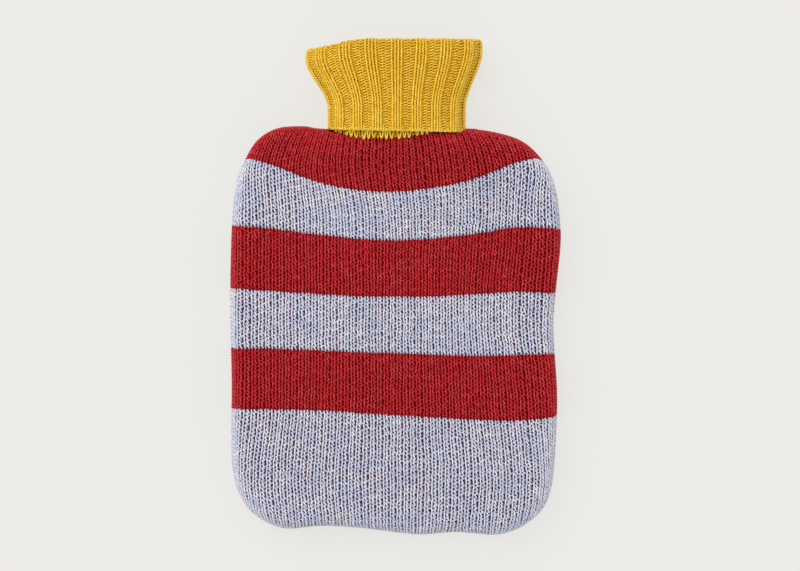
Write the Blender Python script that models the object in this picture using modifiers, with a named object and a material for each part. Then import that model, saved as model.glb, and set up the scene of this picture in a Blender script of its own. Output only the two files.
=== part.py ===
"""Knitted hot water bottle cover, lying on its back: two curved panels and a folded rib neck.

All sizes are in metres, +Z is up and +Y runs from the body to the neck. The cover is hollow and open at
its neck. The front and back panels meet in a seam that runs round the edge of the body, half way up, and
the rib neck stands on both of them. The neck is one tube of ribbed cloth, folded outward at its top.
"""

import math

import bmesh
import bpy
import numpy as np
from mathutils import Vector

# ---------------------------------------------------------------- driving sizes
COLLECTION = "hot_water_bottle_cover"
CLEARANCE = 0.0003

# The body's outline, seen from above, with its even shoulders and its slightly wavy lower edge.
# Each side runs clockwise and ends at the middle of a rounded corner, where the next one starts.
# columns: x, y
SHOULDERS = (
    (-0.0915, 0.0965),
    (-0.0785, 0.1045),
    (-0.0610, 0.1060),
    (-0.0407, 0.1040),
    (0.0407, 0.1020),
    (0.0560, 0.1024),
    (0.0700, 0.1010),
    (0.0820, 0.0970),
)
RIGHT_SIDE = (
    (0.0915, 0.0900),
    (0.1008, 0.0780),
    (0.1062, 0.0630),
    (0.1090, 0.0400),
    (0.1088, 0.0240),
    (0.1058, -0.0040),
    (0.1044, -0.0300),
    (0.1068, -0.0720),
    (0.1054, -0.1100),
    (0.1028, -0.1330),
)
LOWER_EDGE = (
    (0.0970, -0.1470),
    (0.0860, -0.1568),
    (0.0760, -0.1616),
    (0.0640, -0.1638),
    (0.0400, -0.1620),
    (0.0180, -0.1636),
    (0.0020, -0.1624),
    (-0.0220, -0.1594),
    (-0.0490, -0.1580),
    (-0.0740, -0.1594),
)
LEFT_SIDE = (
    (-0.0930, -0.1505),
    (-0.1035, -0.1360),
    (-0.1076, -0.1200),
    (-0.1086, -0.0980),
    (-0.1082, -0.0650),
    (-0.1090, -0.0250),
    (-0.1090, 0.0100),
    (-0.1078, 0.0450),
    (-0.1048, 0.0700),
    (-0.0998, 0.0830),
)

# The body's cross-section.
PANEL_THICKNESS = 0.003
SEAM_HEIGHT = 0.015
EDGE_RADIUS = 0.015
FLANK_HEIGHT = 0.030
CROWN = 0.006
CROWN_MIDDLE_Y = -0.028
CROWN_HALF_WIDTH = 0.100
CROWN_HALF_LENGTH = 0.130
SEAM_BAND = 0.0012

# The folded rib neck.
RIB_THICKNESS = 0.0024
RIB_RELIEF = 0.0005
RIB_REPEATS = 16
LAYER_PITCH = 0.0042
SECTION_POWER = 2.3
COLLAR_HALF_WIDTH = 0.0437
COLLAR_HALF_DEPTH = 0.0176
COLLAR_DEEPENING = 0.0010
FLARE_LEFT = 0.0150
FLARE_RIGHT = 0.0116
FLARE_START = 0.25
FLARE_END = 0.95
COLLAR_SHIFT = 0.0008
RIM_Y = 0.1605
RIM_DROP_LEFT = 0.0062
RIM_DROP_START = -0.018
RIM_DROP_END = -0.058
FREE_EDGE_DIP_LEFT = 0.0046
FREE_EDGE_DIP_RIGHT = 0.0030
FREE_EDGE_GAP = 0.0022
FREE_EDGE_POWER = 0.8

# Where the neck meets the body, and how far its shape spreads into the panels.
JOIN_DIP = 0.0085
JOIN_DIP_POWER = 1.7
TUBE_HALF_WIDTH = COLLAR_HALF_WIDTH - LAYER_PITCH + RIB_THICKNESS / 2
TUBE_HALF_DEPTH = COLLAR_HALF_DEPTH - LAYER_PITCH + RIB_THICKNESS / 2
NECK_HEIGHT = COLLAR_HALF_DEPTH + RIB_THICKNESS / 2 + RIB_RELIEF + CLEARANCE / 2
JOIN_GAP = 0.0007
NECK_SPREAD = 0.046
TUBE_BLEND = 0.014

# How finely the shapes are stepped. A rib is stepped at the phases given, to the heights given.
CURVE_STEPS = 12
SHOULDER_STEPS = 4
NECK_STEPS = 12
SIDE_STEPS = 18
RING_INSETS = (0.0, 0.0012, 0.0045, 0.0095, 0.0155, 0.0220)
RELAX_ROUNDS = 12
RIB_PHASES = (0.0, 0.17, 0.29, 0.71, 0.83)
RIB_HEIGHTS = (1.0, 0.75, -0.9, -0.9, 0.75)
TUBE_ROWS = (0.0, 0.12, 0.55, 1.0)
FOLD_ANGLES = (35.0, 90.0, 145.0)
COLLAR_ROWS = (1.0, 0.86, 0.70, 0.52, 0.34, 0.16, 0.0)

# Finishes. columns: colour, roughness
CRIMSON = ((0.40, 0.020, 0.030, 1.0), 0.92)
PALE_BLUE = ((0.47, 0.50, 0.62, 1.0), 0.92)
MUSTARD = ((0.66, 0.42, 0.045, 1.0), 0.90)
# Heights on the body at which the colour changes, from the shoulders down; it starts with crimson.
STRIPE_EDGES = (0.065, 0.032, -0.006, -0.043, -0.083)


# ---------------------------------------------------------------- curves and sections
def smoothstep(value):
    """0 below 0, 1 above 1, and an even curve between."""
    t = np.clip(value, 0.0, 1.0)
    return t * t * (3.0 - 2.0 * t)


def closed_curve(points, steps):
    """A smooth closed curve through the points, with this many steps between two of them."""
    p = np.array(points)
    t = np.linspace(0.0, 1.0, steps, endpoint=False)[:, None]
    spans = []
    for i in range(len(p)):
        a, b, c, d = (p[(i + k) % len(p)] for k in (-1, 0, 1, 2))
        spans.append(b + 0.5 * t * (c - a + t * (2 * a - 5 * b + 4 * c - d + t * (3 * (b - c) + d - a))))
    return np.concatenate(spans)


def even_points(line, count):
    """Points at equal distances along an open line, its ends included."""
    along = np.concatenate([[0.0], np.cumsum(np.linalg.norm(np.diff(line, axis=0), axis=1))])
    wanted = np.linspace(0.0, along[-1], count + 1)
    return np.stack([np.interp(wanted, along, line[:, k]) for k in (0, 1)], axis=1)


OUTLINE_TABLE = SHOULDERS + RIGHT_SIDE + LOWER_EDGE + LEFT_SIDE
OUTLINE = closed_curve(OUTLINE_TABLE, CURVE_STEPS)


def outline_span(first, last):
    """The stretch of the outline between two rows of its table."""
    start, end = first * CURVE_STEPS, last * CURVE_STEPS
    return np.take(OUTLINE, range(start, end + 1), axis=0, mode="wrap")


def inside_distance(x, y):
    """How far each point inside the outline lies from it."""
    p = np.stack([np.ravel(x), np.ravel(y)], axis=1)[:, None, :]
    a, b = OUTLINE, np.roll(OUTLINE, -1, axis=0)
    share = np.clip(((p - a) * (b - a)).sum(2) / ((b - a) ** 2).sum(1), 0.0, 1.0)
    nearest = a + share[..., None] * (b - a)
    return np.linalg.norm(p - nearest, axis=2).min(axis=1).reshape(np.shape(x))


def shoulder_y(x):
    """The height on the body at which the shoulder line crosses the neck."""
    left, right = SHOULDERS[3], SHOULDERS[4]
    return left[1] + (right[1] - left[1]) * (x - left[0]) / (right[0] - left[0])


def join_y(x):
    """Where the rib neck meets a panel: highest at the sides, lowest in the middle."""
    across = np.minimum(np.abs(x) / TUBE_HALF_WIDTH, 1.0)
    return shoulder_y(x) - JOIN_DIP * (1.0 - across**JOIN_DIP_POWER)


def neck_nearness(x, y):
    """1 at the neck, falling to 0 where the body keeps its own section."""
    out = np.maximum(np.abs(x) - TUBE_HALF_WIDTH, 0.0)
    down = np.maximum(SHOULDERS[3][1] - y, 0.0)
    return 1.0 - smoothstep(np.hypot(out, down) / NECK_SPREAD)


def crown_height(x, y):
    """The gentle swell of the front over the bottle's middle."""
    across = np.minimum(np.abs(x) / CROWN_HALF_WIDTH, 1.0)
    along = np.minimum(np.abs(y - CROWN_MIDDLE_Y) / CROWN_HALF_LENGTH, 1.0)
    return CROWN * (1.0 - across**2) ** 1.5 * (1.0 - along**2) ** 1.5


def panel_height(x, y, side):
    """The outer face of a panel: side is 1 for the front and -1 for the back."""
    inset = inside_distance(x, y)
    near = neck_nearness(x, y)
    seam = SEAM_HEIGHT + (NECK_HEIGHT - SEAM_HEIGHT) * near
    rise = np.sqrt(1.0 - (1.0 - np.minimum(inset / EDGE_RADIUS, 1.0)) ** 2)
    flank = seam + side * (FLANK_HEIGHT - SEAM_HEIGHT)
    start = seam + side * SEAM_BAND
    z = start + (flank - start) * rise
    if side > 0:
        z = z + crown_height(x, y)
    across = np.minimum(np.abs(x) / TUBE_HALF_WIDTH, 1.0)
    tube = NECK_HEIGHT + side * TUBE_HALF_DEPTH * (1.0 - across**SECTION_POWER) ** (1.0 / SECTION_POWER)
    weight = smoothstep(1.0 - (join_y(x) - y) / TUBE_BLEND)
    return z + side * weight * np.maximum(side * (tube - z), 0.0)


# ---------------------------------------------------------------- making objects
def clear_scene():
    """Remove every object, so that the model is all there is."""
    for obj in list(bpy.data.objects):
        bpy.data.objects.remove(obj, do_unlink=True)


def add_object(name, mesh_builder, collection, material):
    """Put a finished bmesh into a named object with its own material."""
    mesh = bpy.data.meshes.new(name)
    mesh_builder.to_mesh(mesh)
    mesh_builder.free()
    mesh.materials.append(material)
    mesh.shade_smooth()
    obj = bpy.data.objects.new(name, mesh)
    collection.objects.link(obj)
    return obj


def thicken(obj, thickness, offset):
    """Give an open sheet its thickness."""
    solid = obj.modifiers.new("thickness", "SOLIDIFY")
    solid.thickness = thickness
    solid.offset = offset
    solid.use_rim = True


def plain_finish(name, colour, roughness):
    """A matt yarn finish of one colour."""
    material = bpy.data.materials.new(name)
    material.use_nodes = True
    shader = material.node_tree.nodes["Principled BSDF"]
    shader.inputs["Base Color"].default_value = colour
    shader.inputs["Roughness"].default_value = roughness
    shader.inputs["Metallic"].default_value = 0.0
    return material


def striped_finish(name):
    """Crimson and pale blue by turns, changing at the heights named above."""
    material = plain_finish(name, *CRIMSON)
    nodes, links = material.node_tree.nodes, material.node_tree.links
    place = nodes.new("ShaderNodeTexCoord")
    parts = nodes.new("ShaderNodeSeparateXYZ")
    scale = nodes.new("ShaderNodeMapRange")
    ramp = nodes.new("ShaderNodeValToRGB")
    low, high = min(y for _, y in OUTLINE_TABLE), max(y for _, y in OUTLINE_TABLE)
    scale.inputs["From Min"].default_value = high
    scale.inputs["From Max"].default_value = low
    ramp.color_ramp.interpolation = "CONSTANT"
    ramp.color_ramp.elements[0].color = CRIMSON[0]
    ramp.color_ramp.elements.remove(ramp.color_ramp.elements[1])
    for row, edge in enumerate(STRIPE_EDGES):
        stop = ramp.color_ramp.elements.new((high - edge) / (high - low))
        stop.color = (PALE_BLUE, CRIMSON)[row % 2][0]
    links.new(place.outputs["Object"], parts.inputs["Vector"])
    links.new(parts.outputs["Y"], scale.inputs["Value"])
    links.new(scale.outputs["Result"], ramp.inputs["Fac"])
    links.new(ramp.outputs["Color"], nodes["Principled BSDF"].inputs["Base Color"])
    return material


# ---------------------------------------------------------------- panels
def edge_points():
    """The four stretches of a panel's edge, each evenly stepped, clockwise from the left shoulder."""
    s, r, b = len(SHOULDERS), len(RIGHT_SIDE), len(LOWER_EDGE)
    neck_turn = np.linspace(math.pi, 0.0, NECK_STEPS + 1)
    neck_x = TUBE_HALF_WIDTH * np.sign(np.cos(neck_turn)) * np.abs(np.cos(neck_turn)) ** (2 / SECTION_POWER)
    neck = np.stack([neck_x, shoulder_y(neck_x)], axis=1)
    top = np.concatenate(
        [
            even_points(outline_span(0, 3), SHOULDER_STEPS)[:-1],
            neck,
            even_points(outline_span(4, s), SHOULDER_STEPS)[1:],
        ]
    )
    across = len(top) - 1
    right = even_points(outline_span(s, s + r), SIDE_STEPS)
    lower = even_points(outline_span(s + r, s + r + b), across)
    left = even_points(outline_span(s + r + b, len(OUTLINE_TABLE)), SIDE_STEPS)
    return top, right, lower, left


def inset_edge(edge, inset):
    """The closed edge moved inward, and down into the dip where the neck stands."""
    tangent = np.roll(edge, -1, axis=0) - np.roll(edge, 1, axis=0)
    normal = np.stack([-tangent[:, 1], tangent[:, 0]], axis=1)
    normal /= np.linalg.norm(normal, axis=1, keepdims=True)
    under_neck = (np.abs(edge[:, 0]) <= TUBE_HALF_WIDTH + 1e-6) & (edge[:, 1] > 0.0)
    normal[under_neck] = (0.0, 1.0)
    moved = edge - normal * inset
    moved[under_neck, 1] += (join_y(edge[:, 0]) - shoulder_y(edge[:, 0]))[under_neck]
    return moved


def fill_between(top, right, lower, left, u, v):
    """The point of a four-sided patch at u across and v up, from its edges."""

    def along(line, share):
        place = share * (len(line) - 1)
        k = min(int(place + 1e-9), len(line) - 2)
        return line[k] + (line[k + 1] - line[k]) * (place - k)

    up, down = along(top, u), along(lower[::-1], u)
    west, east = along(left, v), along(right[::-1], v)
    corners = (1 - u) * (1 - v) * left[0] + u * (1 - v) * right[-1] + u * v * top[-1] + (1 - u) * v * top[0]
    return (1 - v) * down + v * up + (1 - u) * west + u * east - corners


def build_panel(name, side, collection, material):
    """A curved panel: a patch on its flat middle, with rings that roll over to the seam."""
    top, right, lower, left = edge_points()
    edge = np.concatenate([top[:-1], right[:-1], lower[:-1], left[:-1]])
    across, up = len(top) - 1, SIDE_STEPS
    inner = inset_edge(edge, RING_INSETS[-1])
    turns = np.cumsum([0, across, up, across, up])
    stretches = [np.take(inner, range(a, b + 1), axis=0, mode="wrap") for a, b in zip(turns, turns[1:])]

    bm = bmesh.new()
    bmesh.ops.create_grid(bm, x_segments=across, y_segments=up, size=0.5)
    shares = {v: (round((v.co.x + 0.5) * across), round((v.co.y + 0.5) * up)) for v in bm.verts}
    for vert, (i, j) in shares.items():
        vert.co.x, vert.co.y = fill_between(*stretches, i / across, j / up)
    walk = [(i, up) for i in range(across)] + [(across, j) for j in range(up, 0, -1)]
    walk += [(i, 0) for i in range(across, 0, -1)] + [(0, j) for j in range(up)]
    by_place = {place: vert for vert, place in shares.items()}
    ring = [by_place[place] for place in walk]
    inside = [vert for vert in bm.verts if not vert.is_boundary]
    for _ in range(RELAX_ROUNDS):
        bmesh.ops.smooth_vert(bm, verts=inside, factor=0.5, use_axis_x=True, use_axis_y=True)
    for inset in reversed(RING_INSETS[:-1]):
        points = inset_edge(edge, inset)
        ring = add_ring(bm, ring, points)
    set_heights(bm, side)
    add_seam_band(bm, ring, side)
    obj = add_object(name, bm, collection, material)
    thicken(obj, PANEL_THICKNESS, -side)
    return obj


def add_ring(bm, ring, points):
    """Extrude a closed ring of vertices outward to new places, and return the new ring."""
    new = [bm.verts.new((x, y, 0.0)) for x, y in points]
    for k in range(len(ring)):
        nxt = (k + 1) % len(ring)
        bm.faces.new((ring[k], ring[nxt], new[nxt], new[k]))
    return new


def set_heights(bm, side):
    """Lift a flat patch on to the panel's outer face."""
    plan = np.array([vert.co[:2] for vert in bm.verts])
    heights = panel_height(plan[:, 0], plan[:, 1], side)
    for vert, z in zip(bm.verts, heights):
        vert.co.z = z


def add_seam_band(bm, ring, side):
    """A short upright band along the seam, so that both panels meet squarely there."""
    left_end, right_end = SHOULDER_STEPS, SHOULDER_STEPS + NECK_STEPS
    seam = ring[right_end:] + ring[: left_end + 1]
    drop = Vector((0.0, 0.0, side * (SEAM_BAND - CLEARANCE / 2)))
    band = [bm.verts.new(vert.co - drop) for vert in seam]
    for k in range(len(seam) - 1):
        bm.faces.new((seam[k], seam[k + 1], band[k + 1], band[k]))


# ---------------------------------------------------------------- rib neck
def section_point(turn, half_width, half_depth):
    """A point of the neck's rounded cross-section, and its direction out."""
    c, s = math.cos(turn), math.sin(turn)
    x = half_width * math.copysign(abs(c) ** (2 / SECTION_POWER), c)
    z = half_depth * math.copysign(abs(s) ** (2 / SECTION_POWER), s)
    slope_x = math.copysign(abs(c) ** (2 - 2 / SECTION_POWER), c) / half_width
    slope_z = math.copysign(abs(s) ** (2 - 2 / SECTION_POWER), s) / half_depth
    length = math.hypot(slope_x, slope_z)
    return x, z, slope_x / length, slope_z / length


def rib_turns():
    """The turns round the neck at which its ribs change, spaced evenly along its girth."""
    fine = np.linspace(0.0, 2 * math.pi, 1441)
    points = np.array([section_point(t, COLLAR_HALF_WIDTH, COLLAR_HALF_DEPTH)[:2] for t in fine])
    girth = np.concatenate([[0.0], np.cumsum(np.linalg.norm(np.diff(points, axis=0), axis=1))])
    wanted = [(rib + phase) / RIB_REPEATS for rib in range(RIB_REPEATS) for phase in RIB_PHASES]
    return np.interp(np.array(wanted) * girth[-1], girth, fine)


def rim_y(x):
    """The height of the fold at the neck's top, which is lower at its left."""
    return RIM_Y - RIM_DROP_LEFT * smoothstep((x - RIM_DROP_START) / (RIM_DROP_END - RIM_DROP_START))


def free_edge_y(x, turn):
    """The collar's loose lower edge, which dips in front and behind from where it sits on the shoulders."""
    share = (x + COLLAR_HALF_WIDTH) / (2 * COLLAR_HALF_WIDTH)
    dip = FREE_EDGE_DIP_LEFT + (FREE_EDGE_DIP_RIGHT - FREE_EDGE_DIP_LEFT) * min(max(share, 0.0), 1.0)
    return shoulder_y(x) + FREE_EDGE_GAP - dip * abs(math.sin(turn)) ** FREE_EDGE_POWER


def neck_rows():
    """Each row of the folded neck as (part, share): up the tube, over the fold and down the collar."""
    rows = [("tube", share) for share in TUBE_ROWS]
    rows += [("fold", math.radians(angle)) for angle in FOLD_ANGLES]
    return rows + [("collar", share) for share in COLLAR_ROWS]


def neck_point(turn, relief, part, share):
    """A point of the neck's middle surface."""
    side_flare = FLARE_RIGHT if math.cos(turn) > 0 else FLARE_LEFT
    plain_x = COLLAR_SHIFT + section_point(turn, COLLAR_HALF_WIDTH, COLLAR_HALF_DEPTH)[0]
    start = join_y(plain_x) + JOIN_GAP if part == "tube" else free_edge_y(plain_x, turn)
    spread = {"tube": share, "fold": 1.0, "collar": share}[part]
    flare = smoothstep((spread - FLARE_START) / (FLARE_END - FLARE_START))
    inward = {"tube": LAYER_PITCH, "fold": LAYER_PITCH * (1 + math.cos(share)) / 2, "collar": 0.0}[part]
    half_width = COLLAR_HALF_WIDTH + side_flare * flare - inward
    half_depth = COLLAR_HALF_DEPTH + COLLAR_DEEPENING * flare - inward
    x, z, out_x, out_z = section_point(turn, half_width, half_depth)
    rim = rim_y(plain_x * half_width / COLLAR_HALF_WIDTH)
    y = start + (rim - start) * spread
    if part == "fold":
        y += math.sin(share) * LAYER_PITCH / 2
    shift = COLLAR_SHIFT * (spread if part == "tube" else 1.0)
    outward = {"tube": -1.0, "fold": -math.cos(share), "collar": 1.0}[part]
    rise = relief * RIB_RELIEF * outward
    if part == "tube" and share == 0.0:
        rise = 0.0
    centre = NECK_HEIGHT + COLLAR_DEEPENING * flare
    return x + shift + rise * out_x, y, centre + z + rise * out_z


def build_neck(name, collection, material):
    """The rib neck: one ribbed sheet, closed into a tube and folded over itself."""
    turns, rows = rib_turns(), neck_rows()
    heights = [height for _ in range(RIB_REPEATS) for height in RIB_HEIGHTS]
    columns = len(turns)
    bm = bmesh.new()
    bmesh.ops.create_grid(bm, x_segments=columns, y_segments=len(rows) - 1, size=0.5)
    for vert in bm.verts:
        i = round((vert.co.x + 0.5) * columns) % columns
        j = round((vert.co.y + 0.5) * (len(rows) - 1))
        vert.co = neck_point(turns[i], heights[i], *rows[j])
    bmesh.ops.remove_doubles(bm, verts=bm.verts, dist=1e-6)
    bmesh.ops.recalc_face_normals(bm, faces=bm.faces)
    obj = add_object(name, bm, collection, material)
    thicken(obj, RIB_THICKNESS, 0.0)
    return obj


# ---------------------------------------------------------------- the whole cover
def main():
    clear_scene()
    collection = bpy.data.collections.new(COLLECTION)
    bpy.context.scene.collection.children.link(collection)
    build_panel("front_panel", 1, collection, striped_finish("front_stripes"))
    build_panel("back_panel", -1, collection, striped_finish("back_stripes"))
    build_neck("rib_neck", collection, plain_finish("mustard_rib", *MUSTARD))


main()
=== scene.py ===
"""Knitted hot water bottle cover: its looks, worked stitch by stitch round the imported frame.

All sizes are in metres, in the frame's own axes: the cover lies on its back, +Z is up and +Y runs
to the neck. Each course of the knitting is one length of yarn that follows its loops across the cloth.
"""

import logging
import math
from dataclasses import dataclass, field
from enum import Enum
from functools import cached_property

import bpy
import numpy as np
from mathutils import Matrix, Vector
from mathutils.geometry import delaunay_2d_cdt


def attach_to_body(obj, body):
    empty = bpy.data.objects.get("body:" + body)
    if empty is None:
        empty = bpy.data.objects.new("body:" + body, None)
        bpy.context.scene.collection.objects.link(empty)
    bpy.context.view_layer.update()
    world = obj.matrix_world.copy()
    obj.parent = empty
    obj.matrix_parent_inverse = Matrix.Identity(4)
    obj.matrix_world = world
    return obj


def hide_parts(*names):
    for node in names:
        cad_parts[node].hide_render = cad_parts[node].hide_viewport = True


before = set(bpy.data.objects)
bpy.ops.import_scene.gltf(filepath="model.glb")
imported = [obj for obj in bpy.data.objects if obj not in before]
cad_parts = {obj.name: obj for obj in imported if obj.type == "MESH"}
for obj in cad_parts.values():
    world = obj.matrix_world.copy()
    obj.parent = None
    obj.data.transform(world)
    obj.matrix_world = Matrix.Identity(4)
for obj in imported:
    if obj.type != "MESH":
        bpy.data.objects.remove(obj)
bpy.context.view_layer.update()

TAU = 2.0 * math.pi
Points = tuple[tuple[float, float], ...]
Arrays = tuple[np.ndarray, ...]
log = logging.getLogger("hot_water_bottle_cover")


# ---------------------------------------------------------------- small sums
def smoothstep(value: np.ndarray) -> np.ndarray:
    """0 below 0, 1 above 1, and an even curve between."""
    t = np.clip(value, 0.0, 1.0)
    return t * t * (3.0 - 2.0 * t)


def ease(value: float) -> float:
    """What smoothstep gives for one number."""
    return float(smoothstep(np.array(value)))


def bell(value: np.ndarray, middle: float, length: float) -> np.ndarray:
    """1 at the middle, falling smoothly to nearly 0 two lengths away from it."""
    return np.exp(-(((value - middle) / length) ** 2))


def unit(vectors: np.ndarray) -> np.ndarray:
    """The vectors at length 1."""
    return vectors / np.maximum(np.linalg.norm(vectors, axis=-1, keepdims=True), 1e-12)


def closed_curve(points: Points, steps: int) -> np.ndarray:
    """A smooth closed curve through some points.

    Args:
        points: the points that it passes through, in order.
        steps: how many steps it takes from one to the next.

    Returns:
        The curve's points, one row each.
    """
    p = np.array(points)
    t = np.linspace(0.0, 1.0, steps, endpoint=False)[:, None]
    spans = []
    for i in range(len(p)):
        a, b, c, d = (p[(i + k) % len(p)] for k in (-1, 0, 1, 2))
        spans.append(b + 0.5 * t * (c - a + t * (2 * a - 5 * b + 4 * c - d + t * (3 * (b - c) + d - a))))
    return np.concatenate(spans)


def smooth_line(x: np.ndarray, stations: np.ndarray, values: np.ndarray) -> np.ndarray:
    """A smooth curve through values at stations.

    Args:
        x: where it is wanted.
        stations: where the values are given, rising.
        values: the values there.

    Returns:
        The curve's height at each x; past its ends it keeps the end's height.
    """
    slopes = np.gradient(values, stations)
    place = np.clip(np.searchsorted(stations, x) - 1, 0, len(stations) - 2)
    span = stations[place + 1] - stations[place]
    t = np.clip((x - stations[place]) / span, 0.0, 1.0)
    near = values[place] * (2 * t**3 - 3 * t**2 + 1) + slopes[place] * span * (t**3 - 2 * t**2 + t)
    far = values[place + 1] * (3 * t**2 - 2 * t**3) + slopes[place + 1] * span * (t**3 - t**2)
    return near + far


def grid_value(grid: np.ndarray, column: np.ndarray, row: np.ndarray) -> np.ndarray:
    """What a grid of values holds between its nodes.

    Args:
        grid: the values, rows first.
        column: the places across it, in steps.
        row: the places down it, in steps.

    Returns:
        The value at each place, even between the four nodes round it.
    """
    just_inside = 1.001
    c = np.clip(column, 0.0, grid.shape[1] - just_inside)
    r = np.clip(row, 0.0, grid.shape[0] - just_inside)
    i, j = c.astype(int), r.astype(int)
    u, v = c - i, r - j
    if grid.ndim == 3:
        u, v = u[..., None], v[..., None]
    upper = grid[j, i] * (1 - u) + grid[j, i + 1] * u
    lower = grid[j + 1, i] * (1 - u) + grid[j + 1, i + 1] * u
    return upper * (1 - v) + lower * v


# ---------------------------------------------------------------- the cover's own forms
@dataclass(frozen=True)
class NeckForm:
    """The folded tube of ribbed cloth.

    Its sizes are the frame's, but for the loose edge, the join and the right shoulder, which follow the
    photo more closely.
    """

    shoulder_left: tuple[float, float] = (-0.0407, 0.1040)
    shoulder_right: tuple[float, float] = (0.0407, 0.1044)
    thickness: float = 0.0024
    relief: float = 0.0005
    repeats: int = 16
    layer_pitch: float = 0.0042
    section_power: float = 2.3
    collar_half_width: float = 0.0437
    collar_half_depth: float = 0.0176
    deepening: float = 0.0010
    flare_left: float = 0.0150
    flare_right: float = 0.0116
    flare_start: float = 0.25
    flare_end: float = 0.95
    shift: float = 0.0008
    rim_y: float = 0.1605
    rim_drop: float = 0.0062
    rim_drop_start: float = -0.018
    rim_drop_end: float = -0.058
    edge_gap_left: float = 0.0003
    edge_gap_right: float = -0.0017
    edge_dip: float = 0.0005
    dip_power: float = 0.8
    join_dip: float = 0.0064
    join_power_left: float = 5.0
    join_power_right: float = 1.7
    join_reach_right: float = 0.8
    join_gap: float = 0.0007
    height: float = 0.01945
    collar_courses: float = 32.0
    fold_courses: float = 3.6
    girth_steps: int = 1440

    @property
    def tube_half_width(self) -> float:
        """Half the width of the tube that stands on the body."""
        return self.collar_half_width - self.layer_pitch + self.thickness / 2

    @property
    def tube_half_depth(self) -> float:
        """Half the depth of the tube that stands on the body."""
        return self.collar_half_depth - self.layer_pitch + self.thickness / 2

    @property
    def courses(self) -> float:
        """The courses from the collar's loose edge up, over the fold and down to the join."""
        return 2 * self.collar_courses + self.fold_courses

    def shoulder_y(self, x: np.ndarray) -> np.ndarray:
        """Where the shoulder line crosses the neck."""
        (x0, y0), (x1, y1) = self.shoulder_left, self.shoulder_right
        return y0 + (y1 - y0) * (x - x0) / (x1 - x0)

    def join_y(self, x: np.ndarray) -> np.ndarray:
        """Where the neck meets a panel: highest at the sides, lowest left of the middle.

        Args:
            x: the places across the neck.

        Returns:
            The join's y at each.
        """
        across = np.abs(x) / self.tube_half_width
        left = np.minimum(across, 1.0) ** self.join_power_left
        right = np.minimum(across / self.join_reach_right, 1.0) ** self.join_power_right
        return self.shoulder_y(x) - self.join_dip * (1.0 - np.where(x < 0, left, right))

    def section(self, turn: np.ndarray, half_width: np.ndarray, half_depth: np.ndarray) -> Arrays:
        """The neck's rounded cross-section.

        Args:
            turn: the angles round it, from the right side over the front.
            half_width: half its width.
            half_depth: half its depth.

        Returns:
            x and z of each point, then x and z of the direction out there.
        """
        c, s = np.cos(turn), np.sin(turn)
        power = 2 / self.section_power
        x = half_width * np.sign(c) * np.abs(c) ** power
        z = half_depth * np.sign(s) * np.abs(s) ** power
        out_x = np.sign(c) * np.abs(c) ** (2 - power) / half_width
        out_z = np.sign(s) * np.abs(s) ** (2 - power) / half_depth
        length = np.hypot(out_x, out_z)
        return x, z, out_x / length, out_z / length

    def turn_at(self, share: np.ndarray) -> np.ndarray:
        """The angle at a share of the neck's girth.

        Args:
            share: the places round its girth, 1 for the whole.

        Returns:
            The angle of each, from the right side over the front.
        """
        fine = np.linspace(0.0, TAU, self.girth_steps + 1)
        x, z, _, _ = self.section(fine, self.collar_half_width, self.collar_half_depth)
        girth = np.concatenate([[0.0], np.cumsum(np.hypot(np.diff(x), np.diff(z)))])
        whole = np.floor(share)
        return whole * TAU + np.interp((share - whole) * girth[-1], girth, fine)

    def place(self, share: np.ndarray, course: np.ndarray, rib: np.ndarray) -> np.ndarray:
        """The middle of the neck's cloth.

        Args:
            share: the places round its girth, 1 for the whole.
            course: the courses counted from the collar's loose edge.
            rib: how far each place stands out on its rib, from -1 to 1.

        Returns:
            The points in the frame.
        """
        turn = self.turn_at(share)
        fold = np.clip((course - self.collar_courses) / self.fold_courses, 0.0, 1.0)
        angle = math.pi * (1.0 - fold)
        inner = (course - self.collar_courses - self.fold_courses) / self.collar_courses
        spread = np.where(fold < 1.0, np.minimum(course / self.collar_courses, 1.0), 1.0 - inner)
        section_x = self.section(turn, self.collar_half_width, self.collar_half_depth)[0]
        plain_x = self.shift + section_x
        across = np.clip((plain_x + self.collar_half_width) / (2 * self.collar_half_width), 0.0, 1.0)
        gap = self.edge_gap_left + (self.edge_gap_right - self.edge_gap_left) * across
        dip = self.edge_dip * np.abs(np.sin(turn)) ** self.dip_power
        free_edge = self.shoulder_y(plain_x) + gap - dip
        tube_x = self.shift + section_x * self.tube_half_width / self.collar_half_width
        start = np.where(fold < 1.0, free_edge, self.join_y(tube_x) + self.join_gap)
        flare = smoothstep((spread - self.flare_start) / (self.flare_end - self.flare_start))
        side_flare = np.where(np.cos(turn) > 0, self.flare_right, self.flare_left)
        inward = self.layer_pitch * (1.0 + np.cos(angle)) / 2
        half_width = self.collar_half_width + side_flare * flare - inward
        half_depth = self.collar_half_depth + self.deepening * flare - inward
        x, z, out_x, out_z = self.section(turn, half_width, half_depth)
        drop_from, drop_to = self.rim_drop_start, self.rim_drop_end
        rim_x = plain_x * half_width / self.collar_half_width
        rim = self.rim_y - self.rim_drop * smoothstep((rim_x - drop_from) / (drop_to - drop_from))
        y = start + (rim - start) * spread + np.sin(angle) * self.layer_pitch / 2
        rise = rib * self.relief * -np.cos(angle)
        shift = self.shift * np.where(fold < 1.0, 1.0, spread)
        centre = self.height + self.deepening * flare
        return np.stack([x + shift + rise * out_x, y, centre + z + rise * out_z], axis=-1)


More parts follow.
